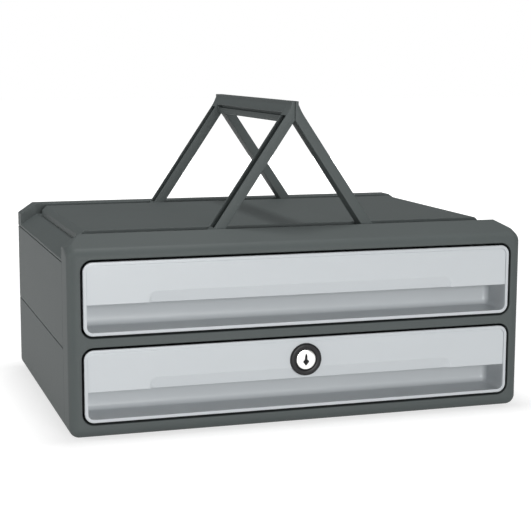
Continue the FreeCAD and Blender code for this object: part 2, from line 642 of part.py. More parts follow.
def top_cover():
    """Lid: bevelled outline, sloped side ledges, leg grooves, platform, rear rim and hinge bosses."""
    body = new_body("TopCover")
    wall = "dims.case_wall"
    block = front_sketch(body, "cover_block", "dims.frame_depth")
    outline(block, mirrored([(HALF_WIDTH, SEAM_HIGH), (HALF_WIDTH, SHOULDER),
                             (total(HALF_WIDTH, "-dims.shoulder_run"), TOP)]))
    pad(body, block, total("dims.case_depth", "-dims.frame_depth"), reverse=True)
    dress(body, "Fillet", "dims.rear_round",
          lambda m, t, e: near(m.y, size("dims.case_depth")) and m.z > size(SEAM_HIGH) + 1)
    recess = front_sketch(body, "handle_recess", GROOVE_FRONT)
    outside = total(HALF_WIDTH, OVERCUT)
    outline(recess, mirrored([(outside, total(TOP, OVERCUT)), (outside, LEDGE_EDGE),
                              (HALF_WIDTH, LEDGE_EDGE), (LEDGE_HALF, LEDGE)]))
    pocket(body, recess, total(RIM_FRONT, f"-{GROOVE_FRONT}"))
    cheek = front_sketch(body, "cheek_drop_cut", total("dims.frame_depth", f"-{OVERCUT}"))
    outline(cheek, above_shoulders("dims.cheek_drop"))
    pocket(body, cheek, total("dims.cheek", OVERCUT))
    platform = front_sketch(body, "platform", PLATFORM_FRONT)
    bevel_low = total(TOP, "-dims.platform_bevel")
    outline(platform, mirrored([(PLATFORM_HALF, total(LEDGE, f"-{OVERCUT}")), (PLATFORM_HALF, bevel_low),
                                (total(PLATFORM_HALF, "-dims.platform_bevel"), TOP)]))
    pad(body, platform, total(PLATFORM_REAR, f"-{PLATFORM_FRONT}"), reverse=True)
    under = front_sketch(body, "ledge_hollow", total("dims.frame_depth", wall))
    flat = total(LEDGE, f"-{wall}")
    corner_x = total(HALF_WIDTH, f"-({LEDGE} - {wall} - {LEDGE_EDGE} + {wall} / {SLOPE_COS}) / {SLOPE}")
    outline(under, mirrored([(CASE_INNER, total(SEAM_HIGH, f"-{OVERCUT}")),
                             (CASE_INNER, ledge_line(CASE_INNER, wall)), (corner_x, flat)]))
    pocket(body, under, total("dims.case_depth", "-dims.frame_depth", f"-2 * {wall}"))
    inside = front_sketch(body, "platform_hollow", total(PLATFORM_FRONT, wall))
    half = total(PLATFORM_HALF, f"-{wall}")
    outline(inside, mirrored([(half, total(flat, f"-{OVERCUT}")), (half, total(bevel_low, f"-{wall} / 2")),
                              (total(half, "-dims.platform_bevel", f"{wall} / 2"), total(TOP, f"-{wall}"))]))
    pocket(body, inside, total(PLATFORM_REAR, f"-{PLATFORM_FRONT}", f"-2 * {wall}"))
    rim = front_sketch(body, "rim_hollow", total(RIM_FRONT, wall))
    rim_half = total(HALF_WIDTH, "-dims.shoulder_run", f"-{wall}")
    box_outline(rim, f"-{rim_half}", rim_half, total(flat, f"-{OVERCUT}"), total(TOP, f"-{wall}"))
    pocket(body, rim, total("dims.rim_depth", f"-2 * {wall}"))
    for mark, side in SIDES:
        hinge_seats(body, mark, f"{side} * {PIVOT_X}")
    screw_posts(body)
    return node(body, "top_cover")


def screw_posts(body):
    """Round posts under the ledges, bored for the cover screws."""
    for place, x, y in boss_places():
        post = plan_sketch(body, "cover_post_" + place, SEAM_HIGH)
        circle(post, x, y, "dims.post_radius")
        pad(body, post, "dims.post_height")
        bore = plan_sketch(body, "cover_bore_" + place, SEAM_HIGH)
        circle(bore, x, y, "dims.screw_radius")
        depth = total("dims.cover_screw_length", "-dims.bracket_thickness", "dims.screw_tip_gap")
        pocket(body, bore, depth, reverse=True)


def hinge_seats(body, tag, x):
    """Bosses behind the platform's end walls, and the bores of the front and the rear pin."""
    start = total(PLATFORM_FRONT, "dims.case_wall / 2")
    front = front_sketch(body, f"front_{tag}_boss", start)
    circle(front, x, PIVOT_Z, "dims.pin_boss_radius")
    pad(body, front, total("dims.case_wall / 2", "dims.pin_boss_length"), reverse=True)
    rear = front_sketch(body, f"rear_{tag}_boss", total(PLATFORM_REAR, "-dims.case_wall / 2"))
    circle(rear, x, PIVOT_Z, "dims.pin_boss_radius")
    pad(body, rear, total("dims.case_wall / 2", "dims.pin_boss_length"))
    front_bore = front_sketch(body, f"front_{tag}_bore", "dims.frame_depth")
    circle(front_bore, x, PIVOT_Z, "dims.pin_radius")
    pocket(body, front_bore, pin_length())
    rear_bore = front_sketch(body, f"rear_{tag}_bore", rear_pin_start())
    circle(rear_bore, x, PIVOT_Z, "dims.pin_radius")
    pocket(body, rear_bore, pin_length())


def pin_length():
    """A hinge pin reaches through the cheek, the leg, the end wall and its boss."""
    return total("dims.cheek", "dims.groove_width", "dims.case_wall", "dims.pin_boss_length")


def rear_pin_start():
    """Front end of a rear pin, inside the platform."""
    return total(PLATFORM_REAR, "-dims.case_wall", "-dims.pin_boss_length")


def hinge_pin(name, x, y):
    """Steel hinge pin, along the case's depth."""
    pin = doc.addObject("Part::Cylinder", name)
    pin.setExpression("Radius", "dims.pin_radius")
    pin.setExpression("Height", pin_length())
    pin.Placement = FreeCAD.Placement(V(), FreeCAD.Rotation(V(1, 0, 0), -90))
    return node(pin, name, x, y, PIVOT_Z)


# ---------------------------------------------------------------- handle

def bail(side, label):
    """Half of the handle, drawn folded outwards from its hinge axis and then raised.

    The crossbar's outer face lies in the shoulder's bevel when folded; raised, it stands upright in
    the middle of the case, against the other bail.
    """
    body = new_body(label.title().replace("_", ""))
    along = total(REAR_LEG, "dims.leg_width", f"-{FRONT_LEG}")
    reach = total(HALF_WIDTH, f"-{PIVOT_X}", "-dims.bail_inset")
    tip = (reach, f"(({FACE} - {reach} * {SLOPE_SIN}) / {SLOPE_COS})")
    crest = (f"(({FACE} - {LEG_HALF} * {SLOPE_COS}) / {SLOPE_SIN})", LEG_HALF)

    def from_tip(inward, deep):
        """Point at a distance up the meeting face from its lower tip, and square below it."""
        return (total(tip[0], f"-({inward}) * {SLOPE_COS}", f"-({deep}) * {SLOPE_SIN}"),
                total(tip[1], f"({inward}) * {SLOPE_SIN}", f"-({deep}) * {SLOPE_COS}"))

    def on_side(points):
        """The outline's points, on this bail's side of the case."""
        return [(f"{side} * ({x})",) + tuple(rest) for x, *rest in points]

    flare_end = from_tip("dims.flare_start", "dims.grip_top")
    run = f"((-({flare_end[1]}) - {LEG_HALF}) / sin({FLARE}))"
    flare = (total(flare_end[0], f"-{run} * cos({FLARE})"), f"-{LEG_HALF}",
             f"(({run} - dims.flare_flat) / tan({FLARE} / 2))")
    edge = from_tip("0", "dims.grip_top")
    leg = [("0", f"-{LEG_HALF}"), flare, flare_end, edge, tip, crest, ("0", LEG_HALF)]
    grip = [edge, tip, from_tip("dims.grip_height", "0"), from_tip("dims.grip_height", "dims.grip_web"),
            from_tip("dims.grip_lip", "dims.grip_web"), from_tip("dims.grip_lip", "dims.grip_lip_depth"),
            flare_end]
    for tag, start in (("front", "0"), ("rear", total(along, "-dims.leg_width"))):
        arm = front_sketch(body, f"{label}_{tag}_leg", start)
        outline(arm, on_side(leg))
        pad(body, arm, "dims.leg_width", reverse=True)
        hub = front_sketch(body, f"{label}_{tag}_hub", start)
        circle(hub, "0", "0", LEG_HALF)
        pad(body, hub, "dims.leg_width", reverse=True)
    bar = front_sketch(body, f"{label}_grip", total("dims.leg_width", "-dims.channel_wall"))
    outline(bar, on_side(grip))
    pad(body, bar, total(along, "-2 * (dims.leg_width - dims.channel_wall)"), reverse=True)
    for tag, start in (("front", "0"), ("rear", total(along, "-dims.leg_width"))):
        hollow = plan_sketch(body, f"{label}_{tag}_channel", f"-{LEG_HALF}")
        first, last = across(side, total("dims.pin_radius", "dims.channel_wall"),
                             from_tip("dims.grip_lip", "dims.grip_web")[0])
        box_outline(hollow, first, last, total(start, "dims.channel_wall"),
                    total(start, "dims.leg_width", "-dims.channel_wall"))
        pocket(body, hollow, "dims.channel_depth", reverse=True)
    bore = front_sketch(body, f"{label}_bore", f"-{OVERCUT}")
    circle(bore, "0", "0", total("dims.pin_radius", "dims.pin_clearance"))
    pocket(body, bore)
    return node(body, label, f"{side} * {PIVOT_X}", FRONT_LEG, PIVOT_Z, f"-({side}) * {RAISED_ANGLE}")


# ---------------------------------------------------------------- drawers

def drawer_tray(name, sill, label):
    """Drawer in one moulding: front ring, finger pull with its hook room, tray and side runners."""
    body = new_body(name)

    def at(level):
        """Height of a level that is measured from the opening's sill."""
        return total(sill, level)

    ring = front_sketch(body, name + "_ring", "0")
    box_outline(ring, f"-{FRONT_HALF}", FRONT_HALF, at(FRONT_LOW), at(FRONT_HIGH), FRONT_ROUND)
    pad(body, ring, "dims.lip_depth", reverse=True)
    chin = front_sketch(body, name + "_chin", total("dims.lip_depth", f"-{OVERCUT}"))
    box_outline(chin, f"-{FRONT_HALF}", FRONT_HALF, at(FRONT_LOW), at(TRAY_HIGH), "dims.tray_round")
    pad(body, chin, total(PULL_BACK, "-dims.lip_depth", OVERCUT), reverse=True)
    dress(body, "Fillet", "dims.lip_round", lambda m, t, e: near(m.y, 0))
    block = front_sketch(body, name + "_block", total(PULL_BACK, f"-{OVERCUT}"))
    half = TRAY_HALF
    outline(block, [(f"-{half}", at(TRAY_LOW), "dims.tray_round"), (half, at(TRAY_LOW), "dims.tray_round"),
                    (half, at(TRAY_HIGH)), (f"-{half}", at(TRAY_HIGH))])
    pad(body, block, total(TRAY_REAR, f"-{PULL_BACK}", OVERCUT), reverse=True)
    for mark, side in SIDES:
        tray_runner(body, f"{name}_{mark}", side, at)
    seat = front_sketch(body, name + "_seat", f"-{OVERCUT}")
    box_outline(seat, f"-{WINDOW_HALF}", WINDOW_HALF, at(PULL_FLOOR), at(WINDOW_HIGH), WINDOW_ROUND)
    pocket(body, seat, total(PANEL_BACK, OVERCUT))
    pull = front_sketch(body, name + "_pull", "0")
    outline(pull, [(f"-{WINDOW_HALF}", at(PULL_FLOOR), WINDOW_ROUND),
                   (WINDOW_HALF, at(PULL_FLOOR), WINDOW_ROUND),
                   (WINDOW_HALF, at(PULL_ROOF)), (f"-{WINDOW_HALF}", at(PULL_ROOF))])
    pocket(body, pull, "dims.pull_depth")
    roof_line = size(at(PULL_ROOF))
    dress(body, "Fillet", "dims.pull_round",
          lambda m, t, e: near(m.y, size("dims.pull_depth")) and m.z < roof_line
          and abs(m.x) < size(FRONT_HALF))
    roof = total(PULL_ROOF, "dims.tray_wall")
    hood_half = total(WINDOW_HALF, "-dims.panel_shoulder")
    hood = front_sketch(body, name + "_hood", "0")
    box_outline(hood, f"-{hood_half}", hood_half, at(roof), at(total(WINDOW_HIGH, "-dims.panel_shoulder")),
                "dims.panel_shoulder")
    pocket(body, hood, "dims.lip_depth")
    brim = total(TRAY_HIGH, OVERCUT)
    cave = plan_sketch(body, name + "_cave", at(brim))
    box_outline(cave, f"-{hood_half}", hood_half, total("dims.lip_depth", f"-{OVERCUT}"),
                total(PULL_BACK, OVERCUT))
    pocket(body, cave, total(brim, f"-{roof}"))
    room = front_sketch(body, name + "_room", PULL_BACK)
    inner = total(half, "-dims.tray_wall")
    floor = at(total(TRAY_LOW, "dims.tray_wall"))
    inner_round = total("dims.tray_round", "-dims.tray_wall")
    outline(room, [(f"-{inner}", floor, inner_round), (inner, floor, inner_round), (inner, at(brim)),
                   (f"-{inner}", at(brim))])
    pocket(body, room, total(TRAY_REAR, "-dims.tray_wall", f"-{PULL_BACK}"))
    return node(body, label)


def tray_runner(body, name, side, at):
    """Runner along the tray's side, with the lug that stops the drawer at the end of its travel."""
    runner = plan_sketch(body, name + "_runner", at(RUNNER_LOW))
    root = total(TRAY_HALF, f"-{OVERCUT}")
    box_outline(runner, *across(side, root, RUNNER_HALF), PULL_BACK, TRAY_REAR)
    pad(body, runner, "dims.runner_thickness")
    lug = plan_sketch(body, name + "_lug", at(RUNNER_LOW))
    start = total(STOP_REAR, "dims.drawer_travel", "dims.stop_cushion")
    box_outline(lug, *across(side, total(RUNNER_HALF, f"-{OVERCUT}"), total(RUNNER_HALF, "dims.lug_reach")),
                start, total(start, "dims.lug_length"))
    pad(body, lug, "dims.runner_thickness")


def drawer_panel(name, sill, label, lock=False):
    """Face panel, seated in the front ring above the finger pull, with a dished scoop at its edge."""
    body = new_body(name)
    half = total(WINDOW_HALF, "-dims.panel_clearance")
    low = total(sill, PANEL_EDGE)
    high = total(sill, WINDOW_HIGH, "-dims.panel_clearance")
    plate = front_sketch(body, name + "_plate", "dims.panel_setback")
    outline(plate, [(f"-{half}", low), (half, low),
                    (half, high, WINDOW_ROUND), (f"-{half}", high, WINDOW_ROUND)])
    pad(body, plate, "dims.panel_thickness", reverse=True)
    rim = front_sketch(body, name + "_scoop_rim", "dims.panel_setback")
    scoop = "dims.scoop_half_width"
    crown = total(low, "dims.scoop_height")
    under = total(low, f"-{OVERCUT}")
    outline(rim, [(f"-{scoop}", under), (scoop, under),
                  (scoop, crown, "dims.scoop_round"), (f"-{scoop}", crown, "dims.scoop_round")])
    bed = front_sketch(body, name + "_scoop_bed", total("dims.panel_setback", "dims.scoop_depth"))
    bed_half = total(scoop, "-dims.scoop_round")
    outline(bed, [(f"-{bed_half}", under), (bed_half, under),
                  (bed_half, total(low, "dims.scoop_depth"), "dims.panel_setback"),
                  (f"-{bed_half}", total(low, "dims.scoop_depth"), "dims.panel_setback")])
    dish = body.newObject("PartDesign::SubtractiveLoft", name + "_scoop")
    dish.Profile = rim
    dish.Sections = [bed]
    dish.Ruled = True
    if lock:
        hole = front_sketch(body, name + "_lock_hole", "0")
        circle(hole, "0", LOCK_Z, "dims.barrel_radius")
        pocket(body, hole)
    return node(body, label)


# ---------------------------------------------------------------- slide rails

def slide_rail(name, sill, side, label):
    """C-shaped rail on the case wall, closed at its front end by the drawer's stop."""
    body = new_body(name)
    inner = f"{side} * {RAIL_INNER}"
    outer = f"{side} * {CASE_INNER}"
    web = f"{side} * ({CASE_INNER} - dims.rail_wall)"
    low = total(sill, RAIL_LOW)
    high = total(sill, RAIL_HIGH)
    lower_lip = total(low, "dims.rail_wall")
    upper_lip = total(high, "-dims.rail_wall")
    section = front_sketch(body, name + "_section", RAIL_FRONT)
    outline(section, [(inner, low), (outer, low), (outer, high), (inner, high),
                      (inner, upper_lip), (web, upper_lip), (web, lower_lip), (inner, lower_lip)])
    pad(body, section, RAIL_LENGTH, reverse=True)
    stop = front_sketch(body, name + "_stop", RAIL_FRONT)
    stop_sides = across(side, total(RUNNER_HALF, "dims.stop_gap"), total(CASE_INNER, "-dims.rail_wall"))
    box_outline(stop, *stop_sides, lower_lip, upper_lip)
    pad(body, stop, "dims.stop_length", reverse=True)
    bores = side_sketch(body, name + "_bores", f"{outer}")
    for tag, y in rail_screw_places():
        circle(bores, y, total(sill, RUNNER_MID), "dims.rail_screw_radius", tag)
    pocket(body, bores, "dims.rail_wall", reverse=side < 0)
    return node(body, label)


def rail_screw_places():
    """Two screws along each rail."""
    return [("front", total(RAIL_FRONT, "dims.rail_screw_inset")),
            ("rear", total(RAIL_FRONT, RAIL_LENGTH, "-dims.rail_screw_inset"))]


# ---------------------------------------------------------------- screws and feet

def turned(kind, name, sizes, base, axis, angle):
    """Part primitive bound to the sheet, placed by expressions, turned about an axis."""
    solid = doc.addObject(f"Part::{kind}", name)
    for prop, expression in sizes.items():
        solid.setExpression(prop, expression)
    solid.Placement = FreeCAD.Placement(V(), FreeCAD.Rotation(axis, angle))
    for prop, expression in zip("xyz", base):
        solid.setExpression(f"Placement.Base.{prop}", expression)
    return solid


def screw(name, base, axis, angle, radius, length, head_radius, head_height):
    """Pan-head screw: its shank runs along the local Z axis from the underside of the head."""
    shank = turned("Cylinder", name + "_shank", {"Radius": radius, "Height": length}, base, axis, angle)
    direction = FreeCAD.Rotation(axis, angle).multVec(V(0, 0, 1))
    back = [total(place, f"-({head_height}) * {round(step)}") for place, step in zip(base, direction)]
    head_sizes = {"Radius1": f"{head_radius} * dims.screw_taper", "Radius2": head_radius, "Height": head_height}
    head = turned("Cone", name + "_head", head_sizes, back, axis, angle)
    joined = doc.addObject("Part::Fuse", name)
    joined.Base = head
    joined.Tool = shank
    return joined


def group(label, members):
    """Several separate solids of one kind in a single node."""
    compound = doc.addObject("Part::Compound", label)
    compound.Links = members
    return node(compound, label)


def case_screws():
    """Screws down through the shelf into the lower module's bosses."""
    z = total(SEAM_LOW, "dims.case_wall")
    return group("case_screws", [
        screw("case_screw_" + tag, (x, y, z), V(1, 0, 0), 180, "dims.screw_radius", "dims.screw_length",
              "dims.screw_head_radius", "dims.screw_head_height") for tag, x, y in boss_places()])


def cover_screws():
    """Screws up through the upper module's bosses into the top cover's posts."""
    z = total(SEAM_HIGH, "-dims.bracket_thickness")
    return group("cover_screws", [
        screw("cover_screw_" + tag, (x, y, z), V(1, 0, 0), 0, "dims.screw_radius", "dims.cover_screw_length",
              "dims.screw_head_radius", "dims.screw_head_height") for tag, x, y in boss_places()])


def rail_screws():
    """Screws that hold the slide rails to the case walls."""
    members = []
    length = total("dims.rail_wall", "dims.rail_screw_grip")
    for mark, side in SIDES:
        for level, sill in (("low", LOWER_SILL), ("high", UPPER_SILL)):
            for place, y in rail_screw_places():
                base = (f"{side} * ({CASE_INNER} - dims.rail_wall)", y, total(sill, RUNNER_MID))
                members.append(screw(f"rail_screw_{mark}_{level}_{place}", base, V(0, 1, 0), 90 * side,
                                     "dims.rail_screw_radius", length,
                                     "dims.rail_screw_head", "dims.rail_screw_head_height"))
    return group("rail_screws", members)


def feet():
    """Rubber feet, seated in the underside."""
    height = total("dims.foot_height", "dims.foot_recess")
    members = [turned("Cylinder", "foot_" + tag, {"Radius": "dims.foot_radius", "Height": height},
                      (x, y, "-dims.foot_height"), V(0, 0, 1), 0) for tag, x, y in foot_places()]
    return group("feet", members)


# ---------------------------------------------------------------- lock

def turned_body(name, label, section):
    """Body of revolution about the lock's axis; the section is (distance back, radius) corners."""
    body = new_body(name)
    sketch = side_sketch(body, name + "_section")
    outline(sketch, section)
    spin = body.newObject("PartDesign::Revolution", name + "_turn")
    spin.Profile = sketch
    spin.ReferenceAxis = (next(f for f in body.Origin.OriginFeatures if f.Role == "Y_Axis"), [""])
    spin.Angle = 360
    return body


def lock_ring():
    """Black collar on the panel round the plug."""
    bore = total("dims.plug_face_radius", "dims.plug_gap")
    front = "-dims.lock_proud"
    body = turned_body("LockRing", "lock_ring", [
        (front, bore), ("dims.panel_setback", bore), ("dims.panel_setback", "dims.ring_radius"),
        (total(front, "dims.ring_chamfer"), "dims.ring_radius"),
        (front, total("dims.ring_radius", "-dims.ring_chamfer"))])
    return node(body, "lock_ring", "0", "0", LOCK_Z)


def lock_barrel():
    """Barrel through the panel, with the bore that the plug turns in."""
    bore = total("dims.plug_radius", "dims.plug_clearance")
    face = total("dims.panel_setback", "dims.plug_gap")
    body = turned_body("LockBarrel", "lock_barrel", [
        (face, bore), ("dims.barrel_end", bore), ("dims.barrel_end", "dims.barrel_radius"),
        (face, "dims.barrel_radius")])
    return node(body, "lock_barrel", "0", "0", LOCK_Z)


def lock_plug():
    """Plug: bright face, shank and the square that carries the cam."""
    front = total("dims.plug_setback", "-dims.lock_proud")
    shoulder = "dims.panel_setback"
    body = turned_body("LockPlug", "lock_plug", [
        (front, "0"), (CAM_FRONT, "0"), (CAM_FRONT, "dims.plug_radius"), (shoulder, "dims.plug_radius"),
        (shoulder, "dims.plug_face_radius"), (total(front, "dims.plug_gap"), "dims.plug_face_radius"),
        (front, total("dims.plug_face_radius", "-dims.plug_gap"))])
    square = front_sketch(body, "plug_square", total(CAM_FRONT, "-1"))
    side = "dims.plug_radius / 2"
    box_outline(square, f"-{side}", side, f"-{side}", side)
    pad(body, square, total("dims.cam_thickness", "1"), reverse=True)
    keyway = front_sketch(body, "keyway", total(front, "-1"))
    slim, tall = "dims.keyway_width / 2", "dims.keyway_height / 2"
    wing = "dims.keyway_wing"
    notch = "-dims.keyway_wing_drop"
    low, high = total(notch, "-dims.keyway_width"), total(notch, "dims.keyway_width")
    outline(keyway, [(f"-{slim}", f"-{tall}"), (slim, f"-{tall}"), (slim, low), (wing, notch),
                     (slim, high), (slim, tall), (f"-{slim}", tall), (f"-{slim}", high),
                     (f"-{wing}", notch), (f"-{slim}", low)])
    pocket(body, keyway, total("dims.keyway_depth", "1"))
    return node(body, "lock_plug", "0", "0", LOCK_Z)


def lock_cam():
    """Tongue on the plug's square: level when open, upright behind the middle bar when locked."""
    body = new_body("LockCam")
    blade = front_sketch(body, "cam_blade", CAM_FRONT)
    half = "dims.cam_width / 2"
    box_outline(blade, f"-{half}", "dims.cam_length", f"-{half}", half, "dims.cam_width / 4")
    pad(body, blade, "dims.cam_thickness", reverse=True)
    square = front_sketch(body, "cam_square", CAM_FRONT)
    side = "dims.plug_radius / 2"
    box_outline(square, f"-{side}", side, f"-{side}", side)
    pocket(body, square)
    return node(body, "lock_cam", "0", "0", LOCK_Z)


def lock_cam_screw():
    """Screw head that holds the cam on the plug."""
    head = doc.addObject("Part::Cone", "lock_cam_screw")
    head.setExpression("Radius1", "dims.plug_radius * 0.8")
    head.setExpression("Radius2", "dims.plug_radius * 0.6")
    head.setExpression("Height", "dims.cam_thickness")
    head.Placement = FreeCAD.Placement(V(), FreeCAD.Rotation(V(1, 0, 0), -90))
    return node(head, "lock_cam_screw", "0", CAM_REAR, LOCK_Z)


def lock_clip():
    """Horseshoe clip pushed over the barrel from above, against the panel's rear face."""
    body = new_body("LockClip")
    plate = front_sketch(body, "clip_plate", PANEL_BACK)
    reach = "dims.barrel_radius * 1.4"
    low = "-dims.barrel_radius * 0.6"
    box_outline(plate, f"-({reach})", reach, low, reach, "dims.barrel_radius / 4")
    pad(body, plate, "dims.cam_thickness / 2", reverse=True)
    slot = front_sketch(body, "clip_slot", "0")
    hug = "dims.barrel_radius"
    outline(slot, [(f"-{hug}", f"-{hug} * 2"), (hug, f"-{hug} * 2"),
                   (hug, hug, f"{hug} * 0.98"), (f"-{hug}", hug, f"{hug} * 0.98")])
    pocket(body, slot)
    return node(body, "lock_clip", "0", "0", LOCK_Z)


# ---------------------------------------------------------------- the assembly

def build():
    """All sub-parts of the file drawer."""
    front_frame()
    lower_case()
    upper_case()
    top_cover()
    for name, side in SIDES:
        bail(side, name + "_bail")
        hinge_pin(f"front_{name}_pin", f"{side} * {PIVOT_X}", "dims.frame_depth")
        hinge_pin(f"rear_{name}_pin", f"{side} * {PIVOT_X}", rear_pin_start())
    for level, sill in (("lower", LOWER_SILL), ("upper", UPPER_SILL)):
        drawer_tray(f"{level.title()}Tray", sill, level + "_drawer_tray")
        drawer_panel(f"{level.title()}Panel", sill, level + "_drawer_panel", lock=level == "lower")
        for name, side in SIDES:
            slide_rail(f"{level.title()}{name.title()}Rail", sill, side, f"{level}_{name}_rail")
    lock_ring()
    lock_barrel()
    lock_plug()
    lock_cam()
    lock_cam_screw()
    lock_clip()
    case_screws()
    cover_screws()
    rail_screws()
    feet()


def check():
    """Stop if any object of the document failed or any sub-part has no valid shape."""
    for obj in doc.Objects:
        if "Invalid" in obj.State or "Error" in obj.State:
            raise RuntimeError(f"{obj.Label} failed: {obj.State}")
    for obj in NODES:
        if obj.Shape.isNull() or not obj.Shape.isValid():
            raise RuntimeError(f"{obj.Label} has no valid shape")


build()
doc.recompute()
check()
os.makedirs("parts", exist_ok=True)
for sub_part in NODES:
    sub_part.Shape.exportStep(f"parts/{sub_part.Label}.step")
    box = sub_part.Shape.BoundBox
    print(f"{sub_part.Label}: {len(sub_part.Shape.Solids)} solid(s), {sub_part.Shape.Volume:.0f} mm3, "
          f"{box.XLength:.1f} x {box.YLength:.1f} x {box.ZLength:.1f} mm")
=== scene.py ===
# %% [markdown]
# # A desktop file drawer with a folding handle
#
# Two light grey drawers slide in a slate-grey housing, and two hinged bails stand up to make a handle.
# The construction is a fixed frame: Blender adds the finish, and makes again, finer, the pieces that the
# eye rests on.  Each cell says first what the piece is on the real object, how it could be made, and why
# it is made this way here.

# %% The fixed frame
import json
import math

import bmesh
import bpy
import numpy as np
from mathutils import Matrix, Vector

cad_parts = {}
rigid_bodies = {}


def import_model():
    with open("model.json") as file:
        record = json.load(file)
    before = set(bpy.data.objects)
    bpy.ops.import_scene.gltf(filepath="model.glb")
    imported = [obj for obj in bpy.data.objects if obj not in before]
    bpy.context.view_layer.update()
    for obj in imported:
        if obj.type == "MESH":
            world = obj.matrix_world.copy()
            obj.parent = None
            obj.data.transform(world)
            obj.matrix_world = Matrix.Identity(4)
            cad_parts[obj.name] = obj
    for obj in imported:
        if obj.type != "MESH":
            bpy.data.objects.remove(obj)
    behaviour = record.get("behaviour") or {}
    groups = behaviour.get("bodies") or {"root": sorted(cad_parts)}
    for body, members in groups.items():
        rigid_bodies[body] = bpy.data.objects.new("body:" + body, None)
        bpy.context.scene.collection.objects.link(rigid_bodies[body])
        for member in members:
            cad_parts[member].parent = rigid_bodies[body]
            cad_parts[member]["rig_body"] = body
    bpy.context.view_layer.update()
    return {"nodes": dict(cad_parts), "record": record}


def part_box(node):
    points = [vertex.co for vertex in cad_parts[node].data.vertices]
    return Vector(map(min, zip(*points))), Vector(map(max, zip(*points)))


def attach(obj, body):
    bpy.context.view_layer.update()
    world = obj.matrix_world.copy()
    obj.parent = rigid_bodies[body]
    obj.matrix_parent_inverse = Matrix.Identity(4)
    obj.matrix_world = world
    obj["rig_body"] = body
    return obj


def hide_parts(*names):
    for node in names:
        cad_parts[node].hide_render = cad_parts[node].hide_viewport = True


MM = 0.001
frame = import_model()

# %% [markdown]
# ## One effect, many finishes
#
# Real surfaces of one kind share a look.  The same nodes could be wired into every material, but a node
# group with named inputs keeps them alike and lets each finish choose its own values.  Four small helpers
# make a group, put a noise in it, map the noise onto a range, and tint a colour by it.

# %% Node helpers
OBJECT_SPACE = "Object"


def group_with(name, inputs, outputs):
    """Empty shader node group; inputs are (name, kind, value) and outputs are (name, kind)."""
    group = bpy.data.node_groups.new(name, "ShaderNodeTree")
    for label, kind, value in inputs:
        socket = group.interface.new_socket(label, in_out="INPUT", socket_type=kind)
        socket.default_value = value
    for label, kind in outputs:
        group.interface.new_socket(label, in_out="OUTPUT", socket_type=kind)
    return group, group.nodes.new("NodeGroupInput"), group.nodes.new("NodeGroupOutput")


def noise(group, position, scale, detail=2.0):
    """Noise texture on the given position; its Fac output runs from 0 to 1."""
    texture = group.nodes.new("ShaderNodeTexNoise")
    texture.inputs["Detail"].default_value = detail
    group.links.new(position, texture.inputs["Vector"])
    if isinstance(scale, (int, float)):
        texture.inputs["Scale"].default_value = scale
    else:
        group.links.new(scale, texture.inputs["Scale"])
    return texture.outputs["Fac"]


def spread(group, value, low, high):
    """Map a 0-to-1 value onto a range; low and high are numbers or sockets."""
    ranged = group.nodes.new("ShaderNodeMapRange")
    group.links.new(value, ranged.inputs["Value"])
    for name, bound in (("To Min", low), ("To Max", high)):
        if isinstance(bound, (int, float)):
            ranged.inputs[name].default_value = bound
        else:
            group.links.new(bound, ranged.inputs[name])
    return ranged.outputs["Result"]


def tinted(group, colour, shade):
    """A colour multiplied by a grey value."""
    mix = group.nodes.new("ShaderNodeVectorMath")
    mix.operation = "SCALE"
    group.links.new(colour, mix.inputs[0])
    group.links.new(shade, mix.inputs["Scale"])
    return mix.outputs["Vector"]


print("helpers:", ", ".join(helper.__name__ for helper in (group_with, noise, spread, tinted)))

# %% [markdown]
# Moulded plastic takes its skin from the steel mould.  The slate housing has a fine spark-eroded grain,
# the rails and the feet a coarser one.  An image of grain would show its tiles on large faces, so a noise
# in object space is used: it never repeats, and one input sets how fine it is.

# %% Group: mould grain
CLOUDS_PER_METRE, CLOUD_TINT = 14.0, (0.95, 1.05)
grain, grain_in, grain_out = group_with(
    "mould grain",
    [("Colour", "NodeSocketColor", (0.5, 0.5, 0.5, 1)), ("Grains per metre", "NodeSocketFloat", 2500.0),
     ("Roughness low", "NodeSocketFloat", 0.45), ("Roughness high", "NodeSocketFloat", 0.6)],
    [("Colour", "NodeSocketColor"), ("Roughness", "NodeSocketFloat"), ("Height", "NodeSocketFloat")])
place = grain.nodes.new("ShaderNodeTexCoord").outputs[OBJECT_SPACE]
speckle = noise(grain, place, grain_in.outputs["Grains per metre"])
clouds = noise(grain, place, CLOUDS_PER_METRE, detail=3.0)
grain.links.new(tinted(grain, grain_in.outputs["Colour"], spread(grain, clouds, *CLOUD_TINT)),
                grain_out.inputs["Colour"])
grain.links.new(spread(grain, speckle, grain_in.outputs["Roughness low"], grain_in.outputs["Roughness high"]),
                grain_out.inputs["Roughness"])
grain.links.new(speckle, grain_out.inputs["Height"])
print("group:", grain.name, "with", len(grain.nodes), "nodes")

# %% [markdown]
# The drawers come from a polished mould, so they have no grain.  What shows instead is the way that the
# melt ran: long soft streaks across the width that change the gloss a little.  They could be painted on
# an image, but a Mapping node that stretches the noise along one axis draws them at any size.

# %% Group: satin flow
satin, satin_in, satin_out = group_with(
    "satin flow",
    [("Colour", "NodeSocketColor", (0.5, 0.5, 0.5, 1)), ("Roughness low", "NodeSocketFloat", 0.25),
     ("Roughness high", "NodeSocketFloat", 0.4)],
    [("Colour", "NodeSocketColor"), ("Roughness", "NodeSocketFloat"), ("Height", "NodeSocketFloat")])


def stretched(group, scale):
    """Object coordinates, stretched along the axes whose scale is small."""
    mapping = group.nodes.new("ShaderNodeMapping")
    mapping.inputs["Scale"].default_value = scale
    source = group.nodes.new("ShaderNodeTexCoord").outputs[OBJECT_SPACE]
    group.links.new(source, mapping.inputs["Vector"])
    return mapping.outputs["Vector"]


